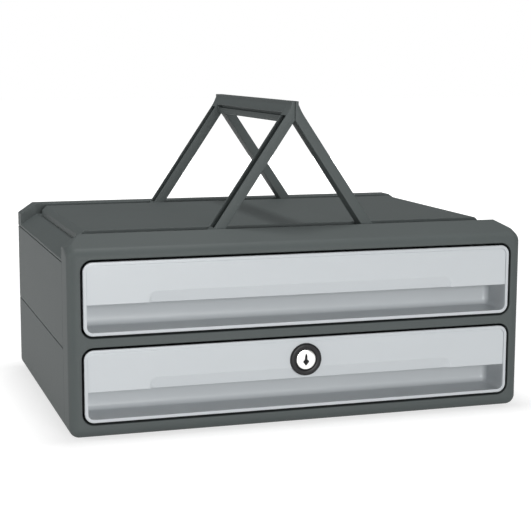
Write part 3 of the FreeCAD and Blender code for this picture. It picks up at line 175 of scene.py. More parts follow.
STREAKS_PER_METRE, STREAK_SCALE, STREAK_TINT = 45.0, (0.25, 1.0, 1.0), (0.985, 1.015)
RIPPLES_PER_METRE, RIPPLE_SCALE = 350.0, (1.0, 1.0, 1.0)
streaks = noise(satin, stretched(satin, STREAK_SCALE), STREAKS_PER_METRE, detail=3.0)
satin.links.new(tinted(satin, satin_in.outputs["Colour"], spread(satin, streaks, *STREAK_TINT)),
                satin_out.inputs["Colour"])
satin.links.new(spread(satin, streaks, satin_in.outputs["Roughness low"], satin_in.outputs["Roughness high"]),
                satin_out.inputs["Roughness"])
ripples = noise(satin, stretched(satin, RIPPLE_SCALE), RIPPLES_PER_METRE)
satin.links.new(ripples, satin_out.inputs["Height"])
print("group:", satin.name, "with", len(satin.nodes), "nodes")

# %% [markdown]
# Metal parts are turned, drawn or cast.  Turning and drawing leave fine parallel lines.  Each metal could
# have its own texture, but one noise, drawn out along one axis, gives such lines at any spacing, so the
# same group serves the plug, the pins and the screws.

# %% Group: tool lines
LINE_SCALE = (1.0, 0.03, 1.0)
lines, lines_in, lines_out = group_with(
    "tool lines",
    [("Roughness low", "NodeSocketFloat", 0.15), ("Roughness high", "NodeSocketFloat", 0.3),
     ("Lines per metre", "NodeSocketFloat", 3000.0)],
    [("Roughness", "NodeSocketFloat"), ("Height", "NodeSocketFloat")])
drawn = noise(lines, stretched(lines, LINE_SCALE), lines_in.outputs["Lines per metre"])
lines.links.new(spread(lines, drawn, lines_in.outputs["Roughness low"], lines_in.outputs["Roughness high"]),
                lines_out.inputs["Roughness"])
lines.links.new(drawn, lines_out.inputs["Height"])
print("group:", lines.name, "with", len(lines.nodes), "nodes")

# %% [markdown]
# ## Finishes
#
# Each finish is one Principled shader fed by a group.  What is the same all over a surface, such as the
# specular level or the metal's colour, is typed straight onto the shader; only what changes over the
# surface comes through the group.  The group's height drives a Bump node, a few micrometres deep on
# plastic and metal and more on rubber: grain that fine could be modelled, but only its effect on the
# light can be seen.

# %% Finish builder
MICROMETRE = 1e-6


def finish(name, group, colour, depth, values, metallic=0.0, specular=0.5):
    """Material whose skin comes from a node group.

    The colour is the surface's own, depth is the bump's in micrometres, and values are the group's other
    inputs by name.
    """
    material = bpy.data.materials.new(name)
    material.use_nodes = True
    tree = material.node_tree
    shader = tree.nodes["Principled BSDF"]
    skin = tree.nodes.new("ShaderNodeGroup")
    skin.node_tree = group
    for label, value in values.items():
        skin.inputs[label].default_value = value
    if "Colour" in skin.inputs:
        skin.inputs["Colour"].default_value = (*colour, 1)
        tree.links.new(skin.outputs["Colour"], shader.inputs["Base Color"])
    else:
        shader.inputs["Base Color"].default_value = (*colour, 1)
    tree.links.new(skin.outputs["Roughness"], shader.inputs["Roughness"])
    bump = tree.nodes.new("ShaderNodeBump")
    bump.inputs["Distance"].default_value = depth * MICROMETRE
    tree.links.new(skin.outputs["Height"], bump.inputs["Height"])
    tree.links.new(bump.outputs["Normal"], shader.inputs["Normal"])
    shader.inputs["Metallic"].default_value = metallic
    shader.inputs["Specular IOR Level"].default_value = specular
    return material


SLATE = (0.081, 0.094, 0.093)
finishes = {
    "slate_plastic": finish("slate_plastic", grain, SLATE, 12, {
        "Grains per metre": 2600.0, "Roughness low": 0.5, "Roughness high": 0.66}, specular=0.25),
}
print("first finish:", *finishes)

# %% [markdown]
# The drawers are light grey, with panels a shade paler.  Rails, feet and the lock's collar are dark, each
# with a gloss of its own, and the small metal parts are nickel, zinc and steel.
# Each could be tuned by eye alone, but starting from how rough such a surface is keeps them believable
# side by side.

# %% The other finishes
LIGHT_GREY, PANEL_GREY = (0.56, 0.59, 0.61), (0.575, 0.606, 0.627)
RAIL_GREY, BLACK, RUBBER = (0.035, 0.038, 0.038), (0.012, 0.012, 0.013), (0.018, 0.018, 0.018)
NICKEL, ZINC, STEEL = (0.86, 0.86, 0.84), (0.5, 0.5, 0.51), (0.56, 0.57, 0.58)
finishes |= {
    "light_grey_plastic": finish("light_grey_plastic", satin, LIGHT_GREY, 6, {
        "Roughness low": 0.26, "Roughness high": 0.36}),
    "light_grey_panel": finish("light_grey_panel", satin, PANEL_GREY, 4, {
        "Roughness low": 0.3, "Roughness high": 0.42}, specular=0.4),
    "dark_rail_plastic": finish("dark_rail_plastic", grain, RAIL_GREY, 10, {
        "Grains per metre": 1800.0, "Roughness low": 0.35, "Roughness high": 0.5}),
    "black_plastic": finish("black_plastic", grain, BLACK, 8, {
        "Grains per metre": 3000.0, "Roughness low": 0.3, "Roughness high": 0.42}, specular=0.27),
    "foot_rubber": finish("foot_rubber", grain, RUBBER, 60, {
        "Grains per metre": 1500.0, "Roughness low": 0.75, "Roughness high": 0.92}, specular=0.3),
    "bright_nickel": finish("bright_nickel", lines, NICKEL, 1.5, {
        "Roughness low": 0.2, "Roughness high": 0.32}, metallic=1.0),
    "zinc": finish("zinc", lines, ZINC, 12, {
        "Roughness low": 0.4, "Roughness high": 0.6, "Lines per metre": 900.0}, metallic=1.0),
    "steel": finish("steel", lines, STEEL, 3, {
        "Roughness low": 0.25, "Roughness high": 0.4}, metallic=1.0),
}
print("finishes:", ", ".join(finishes))

# %% [markdown]
# Behind the lip, the drawer's base colour is made a little darker.  This is painted shade: it stands for
# the shade in the finger pull and in the gap round the front.  Two materials would need a cut in the
# mesh, so a mask along the drawer's depth changes the colour instead, and one material serves the whole
# moulding.

# %% Painted shade behind the lip
LIP_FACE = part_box("upper_drawer_tray")[0][1]
PAINTED_SHADE_FROM, PAINTED_SHADE_FULL, PAINTED_SHADE_FACTOR = LIP_FACE + 0.8 * MM, LIP_FACE + 3 * MM, 0.86


def painted_shade_behind(material, first, last, shade):
    """Painted shade: multiply the base colour by a factor that sets in between two places along the depth."""
    tree = material.node_tree
    base = tree.nodes["Principled BSDF"].inputs["Base Color"]
    colour = base.links[0].from_socket
    split = tree.nodes.new("ShaderNodeSeparateXYZ")
    tree.links.new(tree.nodes.new("ShaderNodeTexCoord").outputs[OBJECT_SPACE], split.inputs["Vector"])
    fade = tree.nodes.new("ShaderNodeMapRange")
    fade.interpolation_type = "SMOOTHSTEP"
    for label, value in (("From Min", first), ("From Max", last), ("To Min", 1.0), ("To Max", shade)):
        fade.inputs[label].default_value = value
    tree.links.new(split.outputs["Y"], fade.inputs["Value"])
    tree.links.new(tinted(tree, colour, fade.outputs["Result"]), base)


# Painted shade, printed below as grain: from just behind the lip the base colour darkens, over the finger
# pull and the moulding's sides.
painted_shade_behind(finishes["light_grey_plastic"], PAINTED_SHADE_FROM, PAINTED_SHADE_FULL, PAINTED_SHADE_FACTOR)
print("grain sets in at", round(PAINTED_SHADE_FROM / MM, 1), "mm")

# %% [markdown]
# ## From a mesh to a piece
#
# A mesh that is new here could simply be put into the scene, but then it wouldn't move with the drawer
# or the handle that it belongs to.  Two helpers make a mesh ready and turn it into a piece.  The first
# welds it and decides which edges look sharp.  The second lets the piece ride on its body and hides the
# construction nodes that it stands for.

# %% Weld, then adopt
SHARP = math.radians(30)
COPY_GAP, GRID_GAP = 0.001 * MM, 0.0005 * MM


def welded(mesh, gap, turn_out=False):
    """Join points that are closer than a gap, and shade smooth up to the sharp edges.

    With turn_out, all faces are also turned to look outwards.
    """
    weld = bmesh.new()
    weld.from_mesh(mesh)
    bmesh.ops.remove_doubles(weld, verts=weld.verts, dist=gap)
    if turn_out:
        bmesh.ops.recalc_face_normals(weld, faces=weld.faces)
    weld.to_mesh(mesh)
    weld.free()
    mesh.shade_smooth()
    mesh.set_sharp_from_angle(angle=SHARP)
    return mesh


def adopt(mesh, slot, body, *nodes):
    """Object for a mesh: it rides on a body, takes a slot's finish and stands for the nodes."""
    piece = bpy.data.objects.new(mesh.name, mesh)
    bpy.context.scene.collection.objects.link(piece)
    mesh.materials.clear()
    mesh.materials.append(finishes[slot])
    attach(piece, body)
    if nodes:
        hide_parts(*nodes)
    return piece


print("edges look sharp from", round(math.degrees(SHARP)), "degrees on")

# %% [markdown]
# ## Housing
#
# The front frame, the two housing modules and the top cover are injection mouldings whose shapes the
# construction already holds.  What it doesn't hold is the tiny round that every moulded edge has, and
# that catches the light.  A welded copy of the construction's mesh gets it from a Bevel modifier.  The
# copy keeps the triangles, because flat faces with holes in them would break when bevelled, and the
# Weighted Normal modifier then keeps the big faces flat beside their narrow rounds.

# %% Moulded copies
HOUSING_EDGE = 0.4 * MM


def moulded(node, slot, edge=0):
    """Welded copy of a construction node, with rounded edges of the given width."""
    source = frame["nodes"][node]
    mesh = source.data.copy()
    mesh.name = node + "_moulded"
    piece = adopt(welded(mesh, COPY_GAP), slot, source["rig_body"], node)
    if edge:
        rounds = piece.modifiers.new("moulded edges", "BEVEL")
        rounds.width = edge
        rounds.segments = 2
        rounds.limit_method = "ANGLE"
        rounds.angle_limit = SHARP
        rounds.use_clamp_overlap = False
    flats = piece.modifiers.new("flat faces", "WEIGHTED_NORMAL")
    flats.weight = 100
    flats.keep_sharp = True
    return piece


for node in ("front_frame", "lower_case", "upper_case", "top_cover"):
    shell = moulded(node, "slate_plastic", HOUSING_EDGE)
    print(node, "has", len(shell.data.polygons), "triangles before its edges")

# %% [markdown]
# ## From a grid to a mesh
#
# Every new piece is a grid of points: rows one way, and columns that run once round the piece.  Turning
# such a grid into faces is always the same: four neighbours make a quad, the last column joins the first,
# and the two end rows are capped.  So one helper stacks the coordinates, and another makes the faces.

# %% Grid to mesh
EDGE = 0.35 * MM
ROUND_STEPS = 4


def grid_of(x, y, z):
    """Grid of points from three arrays of coordinates, each repeated to the shape that they share."""
    return np.stack(np.broadcast_arrays(x, y, z), axis=-1)


def skinned(name, *grids):
    """Mesh of closed shells, one for each grid: quads between neighbours, and a cap at each end."""
    points, faces, count = [], [], 0
    for grid in grids:
        rows, columns = grid.shape[:2]
        index = count + np.arange(rows * columns).reshape(rows, columns)
        ring = np.hstack([index, index[:, :1]])
        quads = np.stack([ring[:-1, :-1], ring[:-1, 1:], ring[1:, 1:], ring[1:, :-1]], axis=-1)
        faces += quads.reshape(-1, 4).tolist() + [index[0].tolist(), index[-1, ::-1].tolist()]
        points.append(grid.reshape(-1, 3))
        count += rows * columns
    mesh = bpy.data.meshes.new(name)
    mesh.from_pydata(np.vstack(points).tolist(), [], faces)
    return welded(mesh, GRID_GAP, turn_out=True)


print("edges are rounded by", round(EDGE / MM, 2), "mm")

# %% [markdown]
# ## Handle
#
# Each half of the handle is one moulding: two hollow legs that swing on pins, and a crossbar.  Raised,
# the halves meet back to back over the middle.  A leg leans by the slope of the housing's shoulder: when
# it lies level in its groove, the face that stood upright lies flush in the shoulder.  Beveling the
# construction's mesh would break on its thin upper edges, so the legs are made again as a section carried
# along a path.  Two curves say where the section is: one for the leg's outer side, with the flare at the
# top, and one for its inner side, which bends into the upright meeting face.  The rest comes from the
# hinge axis and the piece's box.

# %% The bail's side view
SHOULDER_RISE, SHOULDER_RUN = 8.8 * MM, 13.0 * MM
BAIL_LEAN = math.atan2(SHOULDER_RISE, SHOULDER_RUN)
LEG_WIDTH = 14.8 * MM
GRIP_TOP, FLARE_DROP, FLARE_FLAT = 2.8 * MM, 2.5 * MM, 0.6 * MM
FLARE_TURN, FLARE_STEPS = math.radians(12), 13
bail_low, bail_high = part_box("right_bail")
hinge = next(joint for joint in frame["record"]["behaviour"]["joints"] if joint["name"] == "right_bail_fold")
HINGE = np.array([hinge["pos_m"][0], hinge["pos_m"][2]])
HUB = bail_high[0] - HINGE[0]
UPWARD = np.array([-math.sin(BAIL_LEAN), math.cos(BAIL_LEAN)])
OUTWARD = np.array([math.cos(BAIL_LEAN), math.sin(BAIL_LEAN)])


def from_top(drop, deep):
    """Point at a drop below the bail's top edge and a depth behind its meeting face."""
    return np.array([bail_low[0] + deep, bail_high[2] - drop])


def leg_sides():
    """Outer and inner line of the leg, above the hub, as rows of points up to the top edge.

    The outer line runs straight along the leg, bends outwards by an arc that is tangent to the leg and
    to the flare, and ends in a short upright edge.  The inner line runs along the leg to the upright
    meeting face, and follows it.
    """
    end = from_top(FLARE_DROP, GRIP_TOP)
    run = ((end - HINGE) @ OUTWARD - HUB) / math.sin(FLARE_TURN)
    flare = UPWARD * math.cos(FLARE_TURN) + OUTWARD * math.sin(FLARE_TURN)
    tangent = run - FLARE_FLAT
    radius = tangent / math.tan(FLARE_TURN / 2)
    bend = np.linspace(0, FLARE_TURN, FLARE_STEPS)[:, None]
    start = end - run * flare - tangent * UPWARD
    arc = start + radius * (np.sin(bend) * UPWARD + (1 - np.cos(bend)) * OUTWARD)
    outer = np.vstack([HINGE + HUB * OUTWARD, arc, end, from_top(EDGE, GRIP_TOP)])
    base = HINGE - HUB * OUTWARD
    crest = base + UPWARD * (base[0] - bail_low[0]) / -UPWARD[0]
    inner = np.vstack([base, crest, from_top(EDGE, 0)])
    return outer, inner


def lengths(line):
    """Distance along a row of points, from its first point."""
    return np.concatenate([[0], np.cumsum(np.linalg.norm(np.diff(line, axis=0), axis=1))])


def at_lengths(line, places):
    """Points of a line at given distances from its start."""
    reach = lengths(line)
    return np.column_stack([np.interp(places, reach, line[:, 0]), np.interp(places, reach, line[:, 1])])


outer, inner = leg_sides()
OUTER_LENGTH, INNER_LENGTH = lengths(outer)[-1], lengths(inner)[-1]
print("leg above its hub, in mm:", round(OUTER_LENGTH / MM, 1), "outside,",
      round(INNER_LENGTH / MM, 1), "inside")

# %% [markdown]
# The leg's section is a channel, open on the outer side and closed near the hub and beside the crossbar.
# Each point of it is written as a share (0 for the outer line, 1 for the inner line), a distance inwards
# from there, and a place across the leg.  One list of such points, carried along the two lines, makes the
# whole leg: where the channel ends, its depth simply drops to nothing.

# %% Leg section
CHANNEL_WALL, CHANNEL_DEPTH, CHANNEL_EDGE = 1.5 * MM, 4.5 * MM, 0.25 * MM
LEG_EDGE = 0.45 * MM


def leg_section():
    """Closed section as rows of share, distance inwards, place across, and 1 where it is channel.

    Its corners are quarters of a circle.  One side of the section is written down, and the other is its
    mirror image across the leg's width.
    """
    arc = np.linspace(0, math.pi / 2, ROUND_STEPS)
    near = np.column_stack([LEG_EDGE * (1 - np.sin(arc)), LEG_EDGE * (1 - np.cos(arc))])
    channel = [(0, 0, CHANNEL_WALL - CHANNEL_EDGE, 0),
               (0, CHANNEL_EDGE, CHANNEL_WALL, 1),
               (0, CHANNEL_DEPTH - CHANNEL_EDGE, CHANNEL_WALL, 1),
               (0, CHANNEL_DEPTH, CHANNEL_WALL + CHANNEL_EDGE, 1)]
    outside = np.array([(0, depth, across, 0) for depth, across in near] + channel)
    inside = np.array([(1, -depth, across, 0) for depth, across in near])[::-1]
    flip = np.array([1, 1, -1, 1])
    shift = np.array([0, 0, LEG_WIDTH, 0])
    return np.vstack([outside, (outside * flip + shift)[::-1], (inside * flip + shift)[::-1], inside])


print("leg section:", len(leg_section()), "points")

# %% [markdown]
# A hollow part is usually cut out with a boolean, which leaves ragged triangles where a curved wall meets
# a flat one.  Here the section is carried up the leg station by station instead, so the channel has clean
# rims.  The hub closes the lower end as an arc about the hinge, and the top edge is rounded by shrinking
# the last few sections.

# %% Section carried along the leg
CHANNEL_START, CHANNEL_STOP = 3.5 * MM, 11.6 * MM
CHANNEL_END = OUTER_LENGTH - CHANNEL_STOP
HUB_FROM_DEGREES, HUB_STEPS, LEG_STEPS = 12, 12, 40
THICKNESS_SHARE = 0.45


def leg_grid(start):
    """Grid of one leg whose front face is at start: stations up the leg, and the section round each.

    Round the hub the lines are arcs about the hinge.  Above it, the stations are the union of both
    lines' own points, matched by the share of their length, with a pair wherever the channel ends.
    At the top edge the section shrinks by the edge's radius while it rises, as a quarter of a circle.
    Where the leg is thin, the inner side's rounding takes only a share of its thickness.
    """
    swing = np.radians(np.linspace(HUB_FROM_DEGREES, 90, HUB_STEPS))[:, None]
    hub = [HINGE + HUB * (sign * OUTWARD * np.sin(swing) - UPWARD * np.cos(swing)) for sign in (1, -1)]
    closed = (np.array([CHANNEL_START, CHANNEL_END]) / OUTER_LENGTH).round(6)
    share = np.concatenate([lengths(outer) / OUTER_LENGTH, lengths(inner) / INNER_LENGTH,
                            closed, np.linspace(0, 1, LEG_STEPS)]).round(6)
    share = np.sort(np.concatenate([np.unique(share), closed]))[1:]
    rise = np.linspace(0, math.pi / 2, ROUND_STEPS)[1:, None]
    top_out = outer[-1] + EDGE * np.hstack([0 * rise, np.sin(rise)])
    top_in = inner[-1] + EDGE * np.hstack([0 * rise, np.sin(rise)])
    shrink = np.concatenate([np.zeros(len(swing) + len(share)), EDGE * (1 - np.cos(rise[:, 0]))])
    out_line = np.vstack([hub[0], at_lengths(outer, share * OUTER_LENGTH), top_out])
    in_line = np.vstack([hub[1], at_lengths(inner, share * INNER_LENGTH), top_in])
    hollow = np.zeros(len(out_line))
    first, last = np.searchsorted(share, closed, side="left") + len(swing)
    hollow[first + 1:last + 1] = 1

    which, inwards, across, channel = leg_section().T
    width = np.linalg.norm(in_line - out_line, axis=1)[:, None]
    inward = (in_line - out_line) / width
    depth = inwards * np.where(channel == 1, hollow[:, None], 1)
    depth = np.clip(depth, -THICKNESS_SHARE * width, CHANNEL_DEPTH)
    depth = depth + shrink[:, None] * np.where(which == 0, 1, -1)
    across = start + np.clip(across, shrink[:, None], LEG_WIDTH - shrink[:, None])
    base = out_line[:, None, :] * (1 - which[:, None]) + in_line[:, None, :] * which[:, None]
    flat = base + depth[:, :, None] * inward[:, None, :]
    return grid_of(flat[:, :, 0], across, flat[:, :, 1])


print("channel:", round((CHANNEL_END - CHANNEL_START) / MM, 1), "mm long")

# %% [markdown]
# The crossbar's corners are all rounded, some wide and some tight.  A Bevel modifier gives one width to
# all of them, so the outline is worked out instead: each corner becomes an arc of its own radius.

# %% Rounded outline
def unit(vector):
    """The vector divided by its length."""
    return vector / np.linalg.norm(vector)


def rounded_outline(corners, radii, steps=5):
    """Closed outline with each corner replaced by an arc that is tangent to both of its sides.

    The arc's middle lies on the line that halves the corner, at the radius divided by the sine of half
    the corner's angle.  Its ends lie on the sides, at the radius divided by that half angle's tangent.
    Between them, the two end directions are blended by the sines of their shares of the arc's angle.
    """
    points = []
    befores, afters = np.roll(corners, 1, axis=0), np.roll(corners, -1, axis=0)
    for before, corner, after, radius in zip(befores, corners, afters, radii):
        first, last = unit(before - corner), unit(after - corner)
        half = math.acos(np.clip(first @ last, -1, 1)) / 2
        middle = corner + unit(first + last) * radius / math.sin(half)
        begin, end = (corner + way * radius / math.tan(half) - middle for way in (first, last))
        turn = np.linspace(0, 1, steps)[:, None]
        angle = math.acos(np.clip(begin @ end / radius ** 2, -1, 1))
        arc = np.sin((1 - turn) * angle) * begin + np.sin(turn * angle) * end
        points.append(middle + arc / math.sin(angle))
    return np.vstack(points)


square = np.array([(0, 0), (1, 0), (1, 1), (0, 1)])
print("a square with rounded corners has", len(rounded_outline(square, [0.1] * 4)), "points")

# %% [markdown]
# The crossbar is a plain profile carried straight from leg to leg: a thick lip that the hand closes on,
# a groove for the fingertips, and a thinner web below.  It could be one mesh with the legs, but it is
# easier to read as a shell of its own.  Its ends sink into the legs, and it stays a hair smaller than
# they are, so that no two faces lie in one plane.

# %% Crossbar, and both bails
LIP_DROP, LIP_DEPTH, WEB_DEPTH, GRIP_DROP = 9.5 * MM, 6.2 * MM, 4.4 * MM, 17 * MM
GROOVE_DEPTH, GROOVE_DROP = 0.9 * MM, 2.1 * MM
HAIR = 0.03 * MM
CROSSBAR = (
    (HAIR, GRIP_TOP - HAIR, 0.35 * MM), (HAIR, HAIR, 0.35 * MM), (GRIP_DROP - HAIR, HAIR, 0.5 * MM),
    (GRIP_DROP - HAIR, WEB_DEPTH, 0.5 * MM), (LIP_DROP + GROOVE_DROP, WEB_DEPTH, 0.4 * MM),
    (LIP_DROP + GROOVE_DROP, GROOVE_DEPTH, 0.4 * MM), (LIP_DROP, GROOVE_DEPTH, 0.4 * MM),
    (LIP_DROP, LIP_DEPTH, 0.8 * MM), (FLARE_DROP, GRIP_TOP - HAIR, 6.0 * MM))


def crossbar_grid(start, end):
    """Grid of the crossbar: its profile of (drop, depth, corner radius) rows, rounded, at both ends."""
    drops, depths, radii = zip(*CROSSBAR)
    corners = np.array([from_top(drop, deep) for drop, deep in zip(drops, depths)])
    x, z = rounded_outline(corners, radii).T
    return grid_of(x, np.array([[start], [end]]), z)


for side, label in ((1, "right"), (-1, "left")):
    (_, front, _), (_, rear, _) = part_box(label + "_bail")
    grids = [leg_grid(front), leg_grid(rear - LEG_WIDTH),
             crossbar_grid(front + LEG_WIDTH - CHANNEL_WALL, rear - LEG_WIDTH + CHANNEL_WALL)]
    mesh = skinned(label + "_bail_shell", *[grid * (side, 1, 1) for grid in grids])
    adopt(mesh, "slate_plastic", label + "_bail", label + "_bail")
    print(mesh.name, "has", len(mesh.polygons), "faces")

# %% [markdown]
# ## Drawer trays
#
# A tray is one light grey moulding: the ring round the drawer front, the finger pull below the panel and
# the box behind.  Its visible edges are rounds in the construction itself, so its welded copy goes
# without a Bevel modifier, and the next cells finish what is seen at its front.

# %% Trays
trays = {level: moulded(level + "_drawer_tray", "light_grey_plastic") for level in ("upper", "lower")}

# %% [markdown]
# Round the front, only the lip comes close to the frame.  Behind it the moulding's outer sides fall back
# by a millimetre, so the gap widens and looks black.  A boolean could plane the sides down, but moving
# points keeps the mesh as it is: two cuts across it give the step its edges, and the points behind them
# move inwards.  How far a point lies from the front's outline, a rectangle with rounded corners, is one
# formula, and the same formula says which way is in.

# %% Rebate behind the lip
LIP_THICKNESS, REBATE, STEP = 1.5 * MM, 1.0 * MM, 0.2 * MM
FRONT_HALF, FRONT_CORNER, BLOCK_BACK = 173.9 * MM, 7.3 * MM, -100.05 * MM
ON_OUTLINE, ON_PLANE = 0.05 * MM, 1e-7


def mesh_points(mesh):
    """All points of a mesh as rows of x, y and z."""
    points = np.empty(3 * len(mesh.vertices))
    mesh.vertices.foreach_get("co", points)
    return points.reshape(-1, 3)


def cut_across(mesh, places):
    """Cut a mesh by upright planes at the given places along the depth, and keep both sides."""
    cut = bmesh.new()
    cut.from_mesh(mesh)
    for place in places:
        bmesh.ops.bisect_plane(cut, geom=[*cut.verts, *cut.edges, *cut.faces], dist=ON_PLANE,
                               plane_co=(0, place, 0), plane_no=(0, 1, 0))
    cut.to_mesh(mesh)
    cut.free()


def rebate(mesh, low, high):
    """Move the front's outer sides inwards, behind the lip, and count the points moved.

    Past is how far a point lies beyond the outline's straight parts, across and up.  The distance to the
    outline is the length of its positive part, plus its larger value where that is negative, minus the
    corner's radius.
    """
    lip_back = low[1] + LIP_THICKNESS
    cut_across(mesh, (lip_back, lip_back + STEP))
    points = mesh_points(mesh)
    half = np.array([FRONT_HALF, (high[2] - low[2]) / 2])
    offset = points[:, [0, 2]] - np.array([0, (low[2] + high[2]) / 2])
    past = np.abs(offset) - (half - FRONT_CORNER)
    beyond = np.maximum(past, 0)
    reach = np.linalg.norm(beyond, axis=1)
    distance = reach + np.minimum(past.max(axis=1), 0) - FRONT_CORNER
    along = points[:, 1]
    moved = (distance > -ON_OUTLINE) & (along > lip_back + STEP / 2) & (along < BLOCK_BACK)
    way = np.sign(offset) * beyond / np.maximum(reach, MM)[:, None]
    points[:, [0, 2]] -= np.where(moved, REBATE + distance, 0)[:, None] * way
    mesh.vertices.foreach_set("co", points.ravel())
    mesh.set_sharp_from_angle(angle=SHARP)
    mesh.update()
    return np.count_nonzero(moved)


for level, tray in trays.items():
    print(level, "tray:", rebate(tray.data, *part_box(level + "_drawer_tray")), "points moved in")

# %% [markdown]
# In each front corner, the box's side wall stands a little inside the block behind the ring, and the two
# only meet along an edge.  A moulding has a web there.  The walls could be moved instead, but a web is
# what a mould maker would add.  It is a small rounded post: its plan is one closed outline, carried
# upwards from the roof of the finger pull to the top of the box, and it sinks into its neighbours.

# %% Corner webs
WEB_PLAN = np.array([(166.03, -101.5), (170.2, -101.5), (170.2, -98.8), (166.03, -98.8)]) * MM
WEB_FOOT, WEB_HEAD, WEB_ROUND = 28.9 * MM, 48.77 * MM, 0.4 * MM


def web_grid(side, sill):
    """Grid of one web: its rounded plan at the foot and at the head, mirrored by the side's sign."""
    x, y = rounded_outline(WEB_PLAN, [WEB_ROUND] * len(WEB_PLAN)).T
    return grid_of(side * x, y, sill + np.array([[WEB_FOOT], [WEB_HEAD]]))


for level, tray in trays.items():
    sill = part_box(level + "_drawer_tray")[0][2]
    webs = skinned(level + "_webs", *[web_grid(side, sill) for side in (-1, 1)])
    both = bmesh.new()
    both.from_mesh(tray.data)
    both.from_mesh(webs)
    both.to_mesh(tray.data)
    both.free()
    print(level, "webs:", round((WEB_HEAD - WEB_FOOT) / MM, 1), "mm high")

# %% [markdown]
# The box's flat floor and walls must shade flat, or their large triangles show.  The finger pull is the
# other way round: there the moulding flows from the rear wall into the floor, and plain smooth shading
# shows that.  The tray could be split in two, but a vertex group is enough: the weighted normals only
# act on the points in it, which are those outside the pull.

# %% Flat box, flowing pull
PULL_BACK, PULL_HALF = -101.6 * MM, 171.35 * MM

for level, tray in trays.items():
    across, along, _ = mesh_points(tray.data).T
    flat = np.flatnonzero((along > PULL_BACK) | (abs(across) > PULL_HALF))
    tray.vertex_groups.new(name="flat").add(flat.tolist(), 1, "REPLACE")
    tray.modifiers["flat faces"].vertex_group = "flat"
    print(level, "tray:", len(flat), "of", len(across), "points shade flat")

# %% [markdown]
# ## Drawer panels
#
# The face panel is a thin plate with rounded upper corners.  Along its lower edge a wide shallow scoop
# leads the fingers into the pull: its upper edge is a crease, and its ends are rounded.  It could be a
# boolean cut, but a height field says it better: a formula tells how deep the front skin is pressed in
# at each point.

# %% Scoop
SCOOP = {"half": 124 * MM, "crown": 8.8 * MM, "corner": 7 * MM, "slope": 0.31, "ramp": 0.8}


def scoop_depth(x, height, half, crown, corner, slope, ramp):
    """How far the scoop is pressed in at a place across and a height above the panel's lower edge.

    The scoop is a plane that leans back from its crown, so its depth is the drop below the crown times
    the slope.  Its ends are short ramps: there the depth is the distance inside the outline, a rectangle
    open below with rounded corners, times the ramp's own slope.  The smaller of the two holds.
    """
    aside = np.abs(x) - (half - corner)
    above = height - (crown - corner)
    outside = np.hypot(np.maximum(aside, 0), np.maximum(above, 0))
    inside = corner - outside - np.minimum(np.maximum(aside, above), 0)
    return np.clip(np.minimum((crown - height) * slope, inside * ramp), 0, None)


print("scoop:", round(scoop_depth(0, 0, **SCOOP) / MM, 2), "mm deep at the panel's lower edge")

# %% [markdown]
# The plate's columns are its section: up the front skin, over the rounded top, down the back and round
# the heel.  Its rows are places across the drawer.  They stand close together where the upper corners
# bend and at the ends, where the whole section shrinks to round the last edges.

# %% Panel surface
PANEL_CORNER = 4.7 * MM
END_STEPS, BEND_STEPS, ACROSS_STEPS, CLIMB_STEPS = 5, 14, 110, 60
BEND_FROM, CROWDING, TOE_GAP = 0.25, 1.3, 0.02 * MM


def places_across(half, corner):
    """Places across a panel, from end to end, closer together at the ends and in the corners.

    Both groups follow one minus a cosine: the ends with the edge's radius, the corners with their own.
    """
    ends = EDGE * (1 - np.cos(np.linspace(0, math.pi / 2, END_STEPS)))
    bend = corner * (1 - np.cos(np.linspace(BEND_FROM, math.pi / 2, BEND_STEPS)))
    middle = np.linspace(corner, half, ACROSS_STEPS)[1:]
    from_end = np.concatenate([ends, bend[bend > EDGE], middle])
    return np.concatenate([from_end - half, (half - from_end)[-2::-1]])


def panel_grid(half, low, high, front, back, corner):
    """Grid of a panel: rows run across, columns go up the front skin, over the top and down the back.

    Near an end, at a distance d from it, the upper edge falls away by the corner's circle, and the whole
    section shrinks by r - sqrt(r^2 - (r - d)^2), which rounds the end's edges by r.  Up the front skin, a
    power crowds the points towards the scoop.
    """
    x = places_across(half, corner)
    gap = half - np.abs(x)
    shrink = EDGE - np.sqrt(EDGE ** 2 - np.maximum(EDGE - gap, 0) ** 2)
    top = high - corner + np.sqrt(np.maximum(corner ** 2 - np.maximum(corner - gap, 0) ** 2, 0))

    climb = np.linspace(0, 1, CLIMB_STEPS) ** CROWDING
    quarter = np.linspace(0, math.pi / 2, ROUND_STEPS)
    front_z = low + EDGE + (top[:, None] - low - 2 * EDGE) * climb
    front_y = front + scoop_depth(x[:, None], front_z - low, **SCOOP)
    crest_y, crest_z = front + EDGE * (1 - np.cos(quarter)), top[:, None] - EDGE * (1 - np.sin(quarter))
    rear_y, rear_z = back - EDGE * (1 - np.sin(quarter)), top[:, None] - EDGE * (1 - np.cos(quarter))
    heel_y, heel_z = back - EDGE * (1 - np.cos(quarter)), low + EDGE * (1 - np.sin(quarter))
    toe = np.minimum(front + EDGE + scoop_depth(x, 0, **SCOOP), back - EDGE - TOE_GAP)
    flat = np.ones((len(x), 1))
    y = np.hstack([front_y, flat * crest_y[1:], flat * rear_y, flat * heel_y, toe[:, None]])
    z = np.hstack([front_z, crest_z[:, 1:], rear_z, flat * heel_z, flat * low])
    y = np.clip(y, front + shrink[:, None], back - shrink[:, None])
    z = np.clip(z, low + shrink[:, None], (top - shrink)[:, None])
    return grid_of(x[:, None], y, z)


for level in ("upper", "lower"):
    node = level + "_drawer_panel"
    (_, front, low), (right, back, high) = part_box(node)
    mesh = skinned(node + "_plate", panel_grid(right, low, high, front, back, PANEL_CORNER))
    adopt(mesh, "light_grey_panel", level + "_drawer", node)
    print(mesh.name, "has", len(mesh.polygons), "faces")

# %% [markdown]
# ## Lock
#
# A collar of black plastic surrounds a bright plug.  Both are round, and a Screw modifier could spin
# their profiles, but a grid does it in one line and stays open to change.  The collar's rim rolls over
# softly on both sides, so that a bright arc shows where it faces a lamp.

